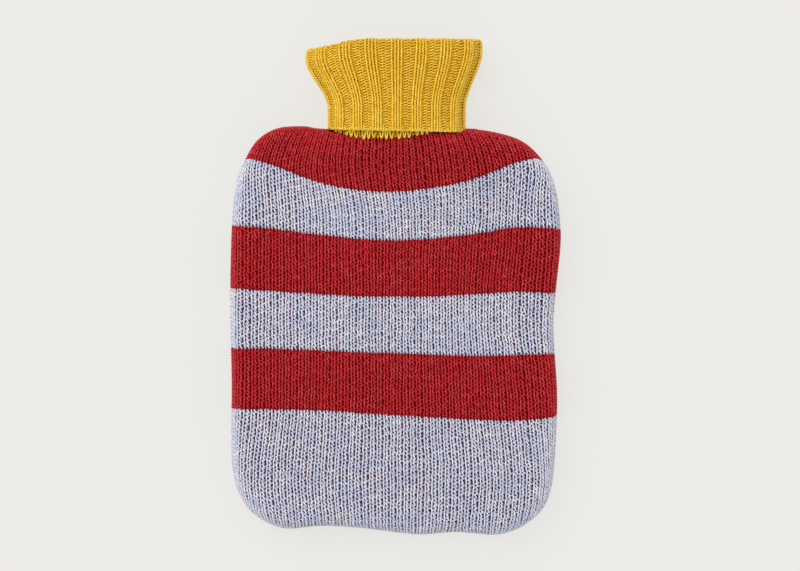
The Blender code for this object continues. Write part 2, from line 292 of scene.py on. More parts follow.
@dataclass(frozen=True)
class BodyForm:
    """The body's outline and the section of its two panels.

    Its sizes are the frame's, but for a fuller rolled edge, the right shoulder, and a hollow in the cloth
    beside each corner of the collar, which follow the photo more closely.
    """

    neck: NeckForm = NeckForm()
    shoulders: Points = (
        (-0.0915, 0.0965),
        (-0.0785, 0.1045),
        (-0.0610, 0.1060),
        (-0.0407, 0.1040),
        (0.0407, 0.1044),
        (0.0560, 0.1036),
        (0.0700, 0.1010),
        (0.0820, 0.0970),
    )
    right_side: Points = (
        (0.0915, 0.0900),
        (0.1008, 0.0780),
        (0.1062, 0.0630),
        (0.1090, 0.0400),
        (0.1088, 0.0240),
        (0.1058, -0.0040),
        (0.1044, -0.0300),
        (0.1068, -0.0720),
        (0.1054, -0.1100),
        (0.1028, -0.1330),
    )
    lower_edge: Points = (
        (0.0970, -0.1470),
        (0.0860, -0.1568),
        (0.0760, -0.1616),
        (0.0640, -0.1638),
        (0.0400, -0.1620),
        (0.0180, -0.1636),
        (0.0020, -0.1624),
        (-0.0220, -0.1594),
        (-0.0490, -0.1580),
        (-0.0740, -0.1594),
    )
    left_side: Points = (
        (-0.0930, -0.1505),
        (-0.1035, -0.1360),
        (-0.1076, -0.1200),
        (-0.1086, -0.0980),
        (-0.1082, -0.0650),
        (-0.1090, -0.0250),
        (-0.1090, 0.0100),
        (-0.1078, 0.0450),
        (-0.1048, 0.0700),
        (-0.0998, 0.0830),
    )
    curve_steps: int = 12
    seam_height: float = 0.015
    edge_radius: float = 0.015
    roll_power: float = 3.0
    roll_steps: int = 400
    flank_height: float = 0.030
    crown: float = 0.006
    crown_middle_y: float = -0.028
    crown_half_width: float = 0.100
    crown_half_length: float = 0.130
    crown_power: float = 1.5
    seam_band: float = 0.0012
    corner_hollow: float = 0.0065
    corner_reach: float = 0.0060
    neck_spread: float = 0.046
    tube_blend: float = 0.014
    straight_neck: float = 0.034
    bent_shoulder: float = 0.048
    shoulder_from: float = 0.060
    shoulder_blend: float = 0.020
    batch: int = 3000
    overhang_rounds: int = 30

    @cached_property
    def edge_roll(self) -> tuple[np.ndarray, np.ndarray]:
        """The section of the rolled edge: how far out each point is, and how much cloth runs up to it."""
        turn = np.linspace(0.0, math.pi / 2, self.roll_steps)
        out = self.edge_radius * np.sin(turn) ** (2 / self.roll_power)
        drop = self.flank_height - self.seam_height - self.seam_band
        down = drop * np.cos(turn) ** (2 / self.roll_power)
        return out, np.concatenate([[0.0], np.cumsum(np.hypot(np.diff(out), np.diff(down)))])

    @property
    def edge_spare(self) -> float:
        """How far past the outline the flat cloth reaches where it is rolled right over."""
        return float(self.edge_roll[1][-1]) - self.edge_radius

    @property
    def past_neck(self) -> int:
        """The place in the outline where it leaves the neck on the right."""
        return self.shoulders.index(self.neck.shoulder_right) * self.curve_steps

    @cached_property
    def outline(self) -> np.ndarray:
        """The body's outline, clockwise from its left shoulder."""
        table = self.shoulders + self.right_side + self.lower_edge + self.left_side
        return closed_curve(table, self.curve_steps)

    @cached_property
    def outline_out(self) -> np.ndarray:
        """The direction out at each point of the outline."""
        along = np.roll(self.outline, -1, axis=0) - np.roll(self.outline, 1, axis=0)
        return unit(np.stack([-along[:, 1], along[:, 0]], axis=1))

    def nearest(self, plan: np.ndarray) -> tuple[np.ndarray, np.ndarray]:
        """Where points lie against the outline.

        Args:
            plan: the points seen from above, one row each.

        Returns:
            How far outside the outline each lies, less than 0 inside it, and the direction out there.
        """
        a, b = self.outline, np.roll(self.outline, -1, axis=0)
        out_a, out_b = self.outline_out, np.roll(self.outline_out, -1, axis=0)
        away, out = [], []
        for part in np.array_split(plan, max(1, len(plan) // self.batch)):
            p = part[:, None, :]
            share = np.clip(((p - a) * (b - a)).sum(2) / ((b - a) ** 2).sum(1), 0.0, 1.0)
            gap = p - (a + share[..., None] * (b - a))
            far = np.linalg.norm(gap, axis=2)
            k = far.argmin(axis=1)
            rows = np.arange(len(part))
            s = share[rows, k][:, None]
            direction = unit(out_a[k] * (1 - s) + out_b[k] * s)
            side = np.sign((gap[rows, k] * direction).sum(1))
            away.append(far[rows, k] * side)
            out.append(direction)
        return np.concatenate(away), np.concatenate(out)

    def bend(self, plan: np.ndarray) -> np.ndarray:
        """How far the cloth rolls over the body's edge.

        Args:
            plan: the points seen from above.

        Returns:
            1 where it rolls over, 0 where it runs on up the neck, and values between them beside it.
        """
        width = self.bent_shoulder - self.straight_neck
        beside = smoothstep((np.abs(plan[:, 0]) - self.straight_neck) / width)
        below = 1.0 - smoothstep((plan[:, 1] - self.shoulder_from) / self.shoulder_blend)
        return np.maximum(beside, below)

    def seam(self, plan: np.ndarray) -> np.ndarray:
        """The seam round the body, which rises to the neck.

        Args:
            plan: the points seen from above.

        Returns:
            The seam's height at each.
        """
        out = np.maximum(np.abs(plan[:, 0]) - self.neck.tube_half_width, 0.0)
        down = np.maximum(self.neck.shoulder_left[1] - plan[:, 1], 0.0)
        near = 1.0 - smoothstep(np.hypot(out, down) / self.neck_spread)
        return self.seam_height + (self.neck.height - self.seam_height) * near

    def height(self, plan: np.ndarray, inset: np.ndarray, side: int) -> np.ndarray:
        """The outer face of a panel.

        Args:
            plan: the points seen from above.
            inset: how far each lies inside the outline.
            side: 1 for the front and -1 for the back.

        Returns:
            The height of the face at each point.
        """
        x, y = plan[:, 0], plan[:, 1]
        neck = self.neck
        seam = self.seam(plan)
        power = self.roll_power
        rise = (1.0 - (1.0 - np.clip(inset / self.edge_radius, 0.0, 1.0)) ** power) ** (1 / power)
        start = seam + side * self.seam_band
        z = start + (seam + side * (self.flank_height - self.seam_height) - start) * rise
        if side > 0:
            across = np.minimum(np.abs(x) / self.crown_half_width, 1.0)
            along = np.minimum(np.abs(y - self.crown_middle_y) / self.crown_half_length, 1.0)
            z = z + self.crown * (1.0 - across**2) ** self.crown_power * (1.0 - along**2) ** self.crown_power
        beside = (np.abs(x) - neck.collar_half_width) / self.corner_reach
        below = (neck.shoulder_right[1] - y) / self.corner_reach
        z = z - side * self.corner_hollow * rise * np.exp(-(beside**2) - below**2)
        across = np.minimum(np.abs(x) / neck.tube_half_width, 1.0)
        power = neck.section_power
        tube = neck.height + side * neck.tube_half_depth * (1.0 - across**power) ** (1.0 / power)
        weight = smoothstep(1.0 - (neck.join_y(x) - y) / self.tube_blend)
        return z + side * weight * np.maximum(side * (tube - z), 0.0)

    def overhang(self, bend: np.ndarray) -> np.ndarray:
        """How far past the outline the flat cloth reaches before it is rolled under to the seam.

        Args:
            bend: how far the cloth rolls over the edge at each place, from 0 to 1.

        Returns:
            The reach at each place.
        """
        out, cloth = self.edge_roll
        reach = np.full(len(bend), self.edge_spare)
        for _ in range(self.overhang_rounds):
            over = self.edge_radius + reach
            reach = bend * (over - np.interp(over, cloth, out))
        return reach

    def lay(self, flat: np.ndarray, side: int) -> tuple[np.ndarray, np.ndarray]:
        """Lays points of the flat cloth on a panel's face, rolled over the edge to the seam.

        Args:
            flat: the points on the flat cloth, one row each.
            side: 1 for the front and -1 for the back.

        Returns:
            The points in the frame, and how much cloth is left between each and the seam.
        """
        away, out = self.nearest(flat)
        bend = self.bend(flat)
        rolled, cloth = self.edge_roll
        over = np.clip(away + self.edge_radius, 0.0, None)
        drawn = (over - np.interp(over, cloth, rolled)) * bend
        plan = flat - out * drawn[:, None]
        past = np.maximum(over - cloth[-1], 0.0) * bend
        z = self.height(plan, drawn - away, side) - side * past
        return np.column_stack([plan, z]), self.overhang(bend) - away


# ---------------------------------------------------------------- cloth and yarn
@dataclass
class ClothMap:
    """The outer face of a cloth, stepped evenly across its wales and along its courses."""

    points: np.ndarray
    spare: np.ndarray
    first_wale: float
    first_course: float
    step: float

    def __post_init__(self) -> None:
        """Works out the direction out of the cloth at each node."""
        along_course = np.gradient(self.points, axis=1)
        along_wale = np.gradient(self.points, axis=0)
        self.out = unit(np.cross(along_wale, along_course))

    def find(self, grid: np.ndarray, wale: np.ndarray, course: np.ndarray) -> np.ndarray:
        """What one of the map's grids holds at these wales and courses."""
        column, row = (wale - self.first_wale) / self.step, (course - self.first_course) / self.step
        return grid_value(grid, column, row)

    def at(self, wale: np.ndarray, course: np.ndarray, depth: np.ndarray, side: int = 1) -> Arrays:
        """Points under the cloth's face.

        Args:
            wale: the places across the cloth, in wales.
            course: the places along it, in courses.
            depth: how far under the face each lies.
            side: -1 turns the direction out round.

        Returns:
            The points and the directions out there.
        """
        out = side * unit(self.find(self.out, wale, course))
        return self.find(self.points, wale, course) - out * np.reshape(depth, (-1, 1)), out


@dataclass(frozen=True)
class Stitch:
    """How the yarn runs through one stitch: foot at the wale's edge, leg, head in its middle, leg, foot.

    Attributes:
        lean: how far the first leg bends across the cloth, in wales.
        second_lean: the same for the second leg.
        reach: how far foot and head lie from the course's middle, in courses.
        rise: how far the legs stand out of the cloth, in metres.
        sink: how far the foot lies in it, in metres.
        swell: how far both legs are drawn in to the wale's middle, in wales.
        draw: how much shorter the second leg is, as a share.
        tilt: how far the legs are tilted, in courses.
        tuck: how far a knit stitch's head lies in the cloth, in metres.
    """

    lean: float
    second_lean: float
    reach: float
    rise: float
    sink: float
    swell: float = 0.0
    draw: float = 0.0
    tilt: float = 0.0
    tuck: float = 0.0

    def track(self, turn: np.ndarray, face: np.ndarray) -> Arrays:
        """The yarn's way.

        Args:
            turn: how far along the yarn, a whole turn for a stitch.
            face: 1 on a knit stitch, -1 on a purl one, and between where one becomes the other.

        Returns:
            The places in wales across, in courses from foot to head, and in metres out of the cloth.
        """
        second = np.maximum(-np.sin(turn), 0.0)
        lean = np.where(second > 0.0, self.second_lean, self.lean)
        across = turn / TAU + lean * np.sin(2 * turn) + self.swell * np.sin(turn)
        along = -self.reach * np.cos(turn) * (1.0 - self.draw * second) + self.tilt * np.sin(2 * turn)
        out = -self.rise * np.cos(2 * turn) * face - self.sink * ((1 + np.cos(turn)) / 2) ** 2
        out = out - self.tuck * ((1 - np.cos(turn)) / 2) ** 4 * np.maximum(face, 0.0)
        return across, along, out

    def crest(self, out: np.ndarray) -> np.ndarray:
        """How near the yarn is to the cloth's face, from 0 where it dives to 1 where it lies on top; it
        masks the painted shade on the yarn.
        """
        return np.clip((out / self.rise + 1.0) / 2, 0.0, 1.0)


@dataclass
class YarnWork:
    """Lengths of yarn gathered into one mesh."""

    name: str
    radius: float
    sides: int = 4
    strands: list[Arrays] = field(default_factory=list)

    def add(
        self,
        centre: np.ndarray,
        out: np.ndarray,
        girth: np.ndarray | float = 1.0,
        crest: np.ndarray | float = 1.0,
    ) -> None:
        """Adds a length of yarn.

        Args:
            centre: the points down its middle.
            out: the direction out of the cloth at each.
            girth: how thick it is at each, 1 for its own radius.
            crest: how near each is to the cloth's face, from 0 to 1.
        """
        ahead = unit(np.gradient(centre, axis=0))
        up = unit(out - ahead * (out * ahead).sum(1, keepdims=True))
        beside = np.cross(ahead, up)
        angle = TAU * (np.arange(self.sides) + 0.5) / self.sides
        radial = beside[:, None, :] * np.cos(angle)[:, None] + up[:, None, :] * np.sin(angle)[:, None]
        size = self.radius * np.broadcast_to(girth, len(centre))
        length = np.concatenate([[0.0], np.cumsum(np.linalg.norm(np.diff(centre, axis=0), axis=1))])
        top = np.broadcast_to(crest, len(centre))
        self.strands.append((centre[:, None, :] + radial * size[:, None, None], length, top))

    def make(self, material: bpy.types.Material) -> bpy.types.Object:
        """Makes the mesh.

        Args:
            material: the yarn's finish.

        Returns:
            The new object, with the yarn's length and its girth as its UV.
        """
        sides = self.sides
        corners, uvs, caps, cap_uvs = [], [], [], []
        first = 0
        for rings, length, _ in self.strands:
            n = len(rings)
            r, k = np.meshgrid(np.arange(n - 1), np.arange(sides), indexing="ij")
            r, k = r.ravel(), k.ravel()
            nxt = (k + 1) % sides
            quad = [first + r * sides + k, first + (r + 1) * sides + k]
            quad += [first + (r + 1) * sides + nxt, first + r * sides + nxt]
            corners.append(np.stack(quad, axis=1))
            u0, u1 = length[r], length[r + 1]
            v0, v1 = k / sides, (k + 1) / sides
            pairs = [(u0, v0), (u1, v0), (u1, v1), (u0, v1)]
            uvs.append(np.stack([np.stack(pair, axis=1) for pair in pairs], axis=1))
            around = np.arange(sides)
            caps += [first + around, first + (n - 1) * sides + around[::-1]]
            cap_uvs += [np.stack([np.full(sides, u), around / sides], axis=1) for u in (0.0, length[-1])]
            first += n * sides
        quads = np.concatenate(corners)
        loops = np.concatenate([quads.ravel(), np.concatenate(caps)])
        starts = np.concatenate([np.arange(len(quads)) * 4, len(quads) * 4 + np.arange(len(caps)) * sides])
        uv = np.concatenate([np.concatenate(uvs).reshape(-1, 2), np.concatenate(cap_uvs)])
        verts = np.concatenate([rings.reshape(-1, 3) for rings, _, _ in self.strands])
        crest = np.repeat(np.concatenate([top for _, _, top in self.strands]), sides)
        mesh = bpy.data.meshes.new(self.name)
        mesh.vertices.add(len(verts))
        mesh.vertices.foreach_set("co", verts.astype(np.float32).ravel())
        mesh.loops.add(len(loops))
        mesh.loops.foreach_set("vertex_index", loops.astype(np.int32))
        mesh.polygons.add(len(starts))
        mesh.polygons.foreach_set("loop_start", starts.astype(np.int32))
        layer = mesh.uv_layers.new(name="yarn")
        layer.data.foreach_set("uv", uv.astype(np.float32).ravel())
        # How near the cloth's face each point lies, which sets the painted shade on the yarn.
        mesh.attributes.new("crest", "FLOAT", "POINT").data.foreach_set("value", crest.astype(np.float32))
        mesh.update(calc_edges=True)
        mesh.shade_smooth()
        mesh.materials.append(material)
        obj = bpy.data.objects.new(self.name, mesh)
        bpy.context.scene.collection.objects.link(obj)
        return obj


def uneven(rng: np.random.Generator, turn: np.ndarray, size: float) -> np.ndarray:
    """Hand-made unevenness along a yarn.

    Args:
        rng: where the random numbers come from.
        turn: how far along the yarn, a whole turn for a stitch.
        size: the usual size of a swing.

    Returns:
        A smooth random value at each place, new for every half stitch.
    """
    knots = turn / math.pi
    first = math.floor(knots.min())
    values = rng.normal(0.0, size, math.ceil(knots.max()) - first + 2)
    return np.interp(knots - first, np.arange(len(values)), np.clip(values, -2 * size, 2 * size))


def drift_grid(seed: int, rows: int, columns: int) -> np.ndarray:
    """A coarse grid of random values from -1 to 1, smooth when it is read between its nodes."""
    return np.random.default_rng(seed).uniform(-1.0, 1.0, (rows, columns))


# ---------------------------------------------------------------- shader parts
Colour = tuple[float, float, float, float]
Feed = bpy.types.NodeSocket | Colour | float
BLACK: Colour = (0.0, 0.0, 0.0, 1.0)


def put(
    tree: bpy.types.NodeTree, kind: str, inputs: dict[str | int, Feed] | None = None, **settings: object
) -> bpy.types.Node:
    """Adds a shader node.

    Args:
        tree: the node tree that it goes in.
        kind: the node's type.
        inputs: for each input by name or number, a value or the output that feeds it.
        settings: the node's own properties.

    Returns:
        The new node.
    """
    node = tree.nodes.new(kind)
    for name, value in settings.items():
        setattr(node, name, value)
    for key, value in (inputs or {}).items():
        if isinstance(value, bpy.types.NodeSocket):
            tree.links.new(value, node.inputs[key])
        else:
            node.inputs[key].default_value = value
    return node


def blended(tree: bpy.types.NodeTree, share: Feed, low: Feed, high: Feed) -> bpy.types.NodeSocket:
    """Mixes two colours.

    Args:
        tree: the node tree.
        share: how much of the second.
        low: the first colour.
        high: the second colour.

    Returns:
        The mixed colour.
    """
    node = put(tree, "ShaderNodeMix", data_type="RGBA", clamp_factor=True)
    for socket, value in ((node.inputs[0], share), (node.inputs[6], low), (node.inputs[7], high)):
        if isinstance(value, bpy.types.NodeSocket):
            tree.links.new(value, socket)
        else:
            socket.default_value = value
    return node.outputs[2]


def sum_of(
    tree: bpy.types.NodeTree, operation: str, *values: Feed, clamp: bool = False
) -> bpy.types.NodeSocket:
    """One sum on values or outputs, as a Math node does it."""
    node = put(tree, "ShaderNodeMath", dict(enumerate(values)), operation=operation, use_clamp=clamp)
    return node.outputs[0]


def ranged(tree: bpy.types.NodeTree, value: Feed, low: float, high: float) -> bpy.types.NodeSocket:
    """A value taken from low and high to 0 and 1, smoothly."""
    inputs = {"Value": value, "From Min": low, "From Max": high}
    return put(tree, "ShaderNodeMapRange", inputs, interpolation_type="SMOOTHSTEP").outputs["Result"]


def noise_at(tree: bpy.types.NodeTree, scale: Feed, detail: float, roughness: float) -> bpy.types.Node:
    """Noise over the piece's own place.

    Args:
        tree: the node tree.
        scale: how fine it is.
        detail: how many finer layers it has.
        roughness: how strong they are.

    Returns:
        The noise node.
    """
    place = put(tree, "ShaderNodeTexCoord").outputs["Object"]
    inputs = {"Vector": place, "Scale": scale, "Detail": detail, "Roughness": roughness}
    return put(tree, "ShaderNodeTexNoise", inputs)


def new_group(
    name: str, inputs: dict[str, float], outputs: tuple[str, ...]
) -> tuple[bpy.types.NodeTree, bpy.types.Node, bpy.types.Node]:
    """Starts a node group.

    Args:
        name: the group's name.
        inputs: its inputs' names and their usual values.
        outputs: its outputs' names.

    Returns:
        The tree, its input node and its output node.
    """
    tree = bpy.data.node_groups.new(name, "ShaderNodeTree")
    for label, value in inputs.items():
        socket = tree.interface.new_socket(label, in_out="INPUT", socket_type="NodeSocketFloat")
        socket.default_value = value
    for label in outputs:
        tree.interface.new_socket(label, in_out="OUTPUT", socket_type="NodeSocketFloat")
    return tree, put(tree, "NodeGroupInput"), put(tree, "NodeGroupOutput")


@dataclass
class YarnEffects:
    """The node groups that every yarn and backing finish shares."""

    twist_length: float = 0.0024
    plies: float = 3.0
    ply_power: float = 0.6
    fibre_scale: float = 2600.0
    fibre_detail: float = 3.0
    fibre_roughness: float = 0.65
    fibre_range: tuple[float, float] = (0.3, 0.7)
    broad_scale: float = 75.0
    stitch_scale: float = 330.0
    drift_detail: float = 2.0
    drift_roughness: float = 0.6
    drift_range: tuple[float, float] = (0.32, 0.68)

    def __post_init__(self) -> None:
        """Builds each group once."""
        self.ply = self.build_ply()
        self.fibre = self.build_fibre()
        self.drift = self.build_drift()

    def build_ply(self) -> bpy.types.NodeTree:
        """The plies twisted round each other, from the yarn's own length and girth.

        Returns:
            The group's tree.
        """
        inputs = {"Twist length": self.twist_length, "Plies": self.plies}
        tree, given, made = new_group("yarn_ply", inputs, ("Ply", "Height"))
        place = put(tree, "ShaderNodeUVMap", uv_map="yarn")
        parts = put(tree, "ShaderNodeSeparateXYZ", {0: place.outputs["UV"]})
        turns = sum_of(tree, "DIVIDE", parts.outputs["X"], given.outputs["Twist length"])
        lapped = sum_of(tree, "MULTIPLY", parts.outputs["Y"], given.outputs["Plies"])
        phase = sum_of(tree, "MULTIPLY", sum_of(tree, "ADD", turns, lapped), TAU)
        wave = sum_of(tree, "MULTIPLY_ADD", sum_of(tree, "SINE", phase), 0.5, 0.5)
        tree.links.new(wave, made.inputs["Ply"])
        tree.links.new(sum_of(tree, "POWER", wave, self.ply_power), made.inputs["Height"])
        return tree

    def build_fibre(self) -> bpy.types.NodeTree:
        """Fine fibres: short streaks and fluff on the yarn.

        Returns:
            The group's tree.
        """
        tree, given, made = new_group("yarn_fibre", {"Scale": self.fibre_scale}, ("Fibre", "Height"))
        noise = noise_at(tree, given.outputs["Scale"], self.fibre_detail, self.fibre_roughness)
        tree.links.new(ranged(tree, noise.outputs["Fac"], *self.fibre_range), made.inputs["Fibre"])
        tree.links.new(noise.outputs["Fac"], made.inputs["Height"])
        return tree

    def build_drift(self) -> bpy.types.NodeTree:
        """Slow changes of shade over the cloth, and quicker ones from stitch to stitch.

        Returns:
            The group's tree.
        """
        scales = {"Broad": self.broad_scale, "Stitch": self.stitch_scale}
        tree, given, made = new_group("shade_drift", scales, tuple(scales))
        for label in scales:
            noise = noise_at(tree, given.outputs[label], self.drift_detail, self.drift_roughness)
            tree.links.new(ranged(tree, noise.outputs["Fac"], *self.drift_range), made.inputs[label])
        return tree


@dataclass(frozen=True)
class YarnFinish:
    """A soft matt yarn, plied from strands of its own shades, with painted shade where it dives into the
    cloth and a painted highlight where it lies on top.

    The shade runs from 0, deep, to 1, light: each contrast says how much one effect lifts it.
    """

    name: str
    deep: Colour
    main: Colour
    light: Colour
    fleck: Colour
    tint: Colour
    fleck_from: float = 0.75
    fleck_blend: float = 0.08
    fleck_scale: float = 480.0
    shade_start: float = -0.28
    ply_contrast: float = 0.40
    fibre_contrast: float = 0.30
    painted_crest_shade_contrast: float = 0.50
    stitch_contrast: float = 0.30
    main_until: float = 0.55
    light_from: float = 0.45
    tint_share: float = 0.38
    twist_length: float = 0.0024
    fibre_relief: float = 0.6
    relief: float = 0.00018
    relief_strength: float = 0.55
    roughness: float = 0.84
    fibre_roughness: float = 0.08
    specular: float = 0.25
    sheen: float = 0.08
    sheen_roughness: float = 0.45
    sheen_tint: Colour = (1.0, 1.0, 1.0, 1.0)

    def make(self, effects: YarnEffects) -> bpy.types.Material:
        """Builds the material.

        Args:
            effects: the shared node groups.

        Returns:
            The yarn's material.
        """
        material = bpy.data.materials.new(self.name)
        material.use_nodes = True
        tree = material.node_tree
        shader = tree.nodes["Principled BSDF"]
        ply = put(tree, "ShaderNodeGroup", node_tree=effects.ply)
        ply.inputs["Twist length"].default_value = self.twist_length
        fibre = put(tree, "ShaderNodeGroup", node_tree=effects.fibre)
        drift = put(tree, "ShaderNodeGroup", node_tree=effects.drift)
        crest = put(tree, "ShaderNodeAttribute", attribute_type="GEOMETRY", attribute_name="crest")
        # The shade mixes the yarn's own plies, fibres and stitch-to-stitch tone with painted shade and
        # painted highlight from how near the cloth's face the yarn lies.
        shade = sum_of(tree, "MULTIPLY_ADD", ply.outputs["Ply"], self.ply_contrast, self.shade_start)
        shade = sum_of(tree, "MULTIPLY_ADD", fibre.outputs["Fibre"], self.fibre_contrast, shade)
        # Painted shade: the yarn's colour darkens where it dives into the cloth and lightens where it lies
        # on top.
        shade = sum_of(tree, "MULTIPLY_ADD", crest.outputs["Fac"], self.painted_crest_shade_contrast, shade)
        stitch = drift.outputs["Stitch"]
        shade = sum_of(tree, "MULTIPLY_ADD", stitch, self.stitch_contrast, shade, clamp=True)
        colour = blended(tree, ranged(tree, shade, 0.0, self.main_until), self.deep, self.main)
        colour = blended(tree, ranged(tree, shade, self.light_from, 1.0), colour, self.light)
        place = put(tree, "ShaderNodeTexCoord").outputs["Object"]
        spots = put(tree, "ShaderNodeTexNoise", {"Vector": place, "Scale": self.fleck_scale, "Detail": 1.0})
        spot = ranged(tree, spots.outputs["Fac"], self.fleck_from - self.fleck_blend, self.fleck_from)
        colour = blended(tree, spot, colour, self.fleck)
        tinted = sum_of(tree, "MULTIPLY", drift.outputs["Broad"], self.tint_share)
        colour = blended(tree, tinted, colour, self.tint)
        height = fibre.outputs["Height"]
        height = sum_of(tree, "MULTIPLY_ADD", height, self.fibre_relief, ply.outputs["Height"])
        relief = {"Strength": self.relief_strength, "Distance": self.relief, "Height": height}
        bump = put(tree, "ShaderNodeBump", relief)
        rough = sum_of(tree, "MULTIPLY_ADD", fibre.outputs["Fibre"], self.fibre_roughness, self.roughness)
        tree.links.new(colour, shader.inputs["Base Color"])
        tree.links.new(bump.outputs["Normal"], shader.inputs["Normal"])
        tree.links.new(rough, shader.inputs["Roughness"])
        shader.inputs["Sheen Weight"].default_value = self.sheen
        shader.inputs["Sheen Roughness"].default_value = self.sheen_roughness
        shader.inputs["Sheen Tint"].default_value = self.sheen_tint
        shader.inputs["Specular IOR Level"].default_value = self.specular
        return material


@dataclass(frozen=True)
class BackingFinish:
    """The reverse of the cloth behind the stitches, coloured dark as painted shade in the gaps between wales
    and the holes within stitches.

    It has one colour between the wales and one within them for each stripe, and the stripes' changes
    as shares of the cloth's length.
    """

    name: str
    between: tuple[Colour, ...]
    within: tuple[Colour, ...]
    changes: tuple[float, ...]
    gap_full: float = 0.14
    gap_end: float = 0.26
    gap_least: float = 0.6
    gap_change: float = 0.5
    shadow: float = 0.4
    relief: float = 0.0003
    relief_strength: float = 0.6
    roughness: float = 0.95
    specular: float = 0.05

    def ramp(
        self, tree: bpy.types.NodeTree, along: bpy.types.NodeSocket, colours: tuple[Colour, ...]
    ) -> bpy.types.NodeSocket:
        """One colour for each stripe, down the cloth.

        Args:
            tree: the material's node tree.
            along: how far down the cloth each place is, from 0 to 1.
            colours: the stripes' colours, from the neck down.

        Returns:
            The colour at each place.
        """
        ramp = put(tree, "ShaderNodeValToRGB", {"Fac": along})
        ramp.color_ramp.interpolation = "CONSTANT"
        ramp.color_ramp.elements[0].color = colours[0]
        ramp.color_ramp.elements.remove(ramp.color_ramp.elements[1])
        for change, colour in zip(self.changes, colours[1:]):
            ramp.color_ramp.elements.new(change).color = colour
        return ramp.outputs["Color"]

    def make(self, effects: YarnEffects) -> bpy.types.Material:
        """Builds the material.

        Args:
            effects: the shared node groups.

        Returns:
            The backing's material; its UV counts wales across, and runs from 0 to 1 down the courses.
        """
        material = bpy.data.materials.new(self.name)
        material.use_nodes = True
        tree = material.node_tree
        shader = tree.nodes["Principled BSDF"]
        place = put(tree, "ShaderNodeUVMap", uv_map="knit")
        parts = put(tree, "ShaderNodeSeparateXYZ", {0: place.outputs["UV"]})
        fibre = put(tree, "ShaderNodeGroup", node_tree=effects.fibre)
        drift = put(tree, "ShaderNodeGroup", node_tree=effects.drift)
        # The mask of the painted shade in the gaps between wales, deeper or paler from stitch to stitch.
        nearest = sum_of(tree, "PINGPONG", parts.outputs["X"], 0.5)
        gap = sum_of(tree, "SUBTRACT", 1.0, ranged(tree, nearest, self.gap_full, self.gap_end))
        depth = sum_of(tree, "MULTIPLY_ADD", drift.outputs["Stitch"], self.gap_change, self.gap_least)
        gap = sum_of(tree, "MULTIPLY", gap, depth, clamp=True)
        within = self.ramp(tree, parts.outputs["Y"], self.within)
        between = self.ramp(tree, parts.outputs["Y"], self.between)
        colour = blended(tree, gap, within, between)
        shadow = sum_of(tree, "MULTIPLY", fibre.outputs["Fibre"], self.shadow)
        colour = blended(tree, shadow, colour, BLACK)
        height = fibre.outputs["Height"]
        relief = {"Strength": self.relief_strength, "Distance": self.relief, "Height": height}
        bump = put(tree, "ShaderNodeBump", relief)
        tree.links.new(colour, shader.inputs["Base Color"])
        tree.links.new(bump.outputs["Normal"], shader.inputs["Normal"])
        shader.inputs["Roughness"].default_value = self.roughness
        shader.inputs["Specular IOR Level"].default_value = self.specular
        return material


CRIMSON_YARN = YarnFinish(
    name="crimson_yarn",
    deep=(0.400, 0.0040, 0.0075, 1.0),
    main=(0.450, 0.0070, 0.0120, 1.0),
    light=(0.780, 0.0850, 0.1050, 1.0),
    fleck=(0.360, 0.0070, 0.0160, 1.0),
    fleck_from=0.68,
    tint=(0.500, 0.0080, 0.0120, 1.0),
    sheen_tint=(1.0, 0.35, 0.35, 1.0),
)
BLUE_YARN = YarnFinish(
    name="pale_blue_yarn",
    deep=(0.370, 0.4150, 0.5800, 1.0),
    main=(0.680, 0.6750, 0.7750, 1.0),
    light=(0.970, 0.9500, 0.9600, 1.0),
    fleck=(0.640, 0.5300, 0.6100, 1.0),
    fleck_from=0.66,
    tint=(0.440, 0.5400, 0.7800, 1.0),
    twist_length=0.0031,
)
MUSTARD_YARN = YarnFinish(
    name="mustard_yarn",
    deep=(0.600, 0.2700, 0.0020, 1.0),
    main=(0.870, 0.5300, 0.0150, 1.0),
    light=(1.000, 0.8000, 0.1800, 1.0),
    fleck=(0.880, 0.5400, 0.0150, 1.0),
    fleck_from=0.68,
    tint=(0.860, 0.5200, 0.0150, 1.0),
    sheen=0.05,
    sheen_tint=(1.0, 0.8, 0.3, 1.0),
)
# The mustard of the cloth's reverse, darker than the yarn as painted shade between the rib's stitches.
SHADE_BEHIND_MUSTARD: Colour = (0.460, 0.190, 0.002, 1.0)
MUSTARD_BACKING = BackingFinish("mustard_backing", (SHADE_BEHIND_MUSTARD,), (SHADE_BEHIND_MUSTARD,), ())
# Painted shade: the dark of the gaps between wales and of the holes within stitches, on the sheet behind the
# stripes.
GAP_SHADE_IN_CRIMSON: Colour = (0.150, 0.0005, 0.0020, 1.0)
HOLE_SHADE_IN_CRIMSON: Colour = (0.150, 0.0002, 0.0010, 1.0)
GAP_SHADE_IN_BLUE: Colour = (0.130, 0.0400, 0.0650, 1.0)
HOLE_SHADE_IN_BLUE: Colour = (0.080, 0.0900, 0.1500, 1.0)


# ---------------------------------------------------------------- the knitted body
class Side(Enum):
    """The two panels of the body."""

    FRONT = 1
    BACK = -1


class StripeYarn(Enum):
    """The two yarns of the stripes."""

    CRIMSON = "red"
    BLUE = "blue"


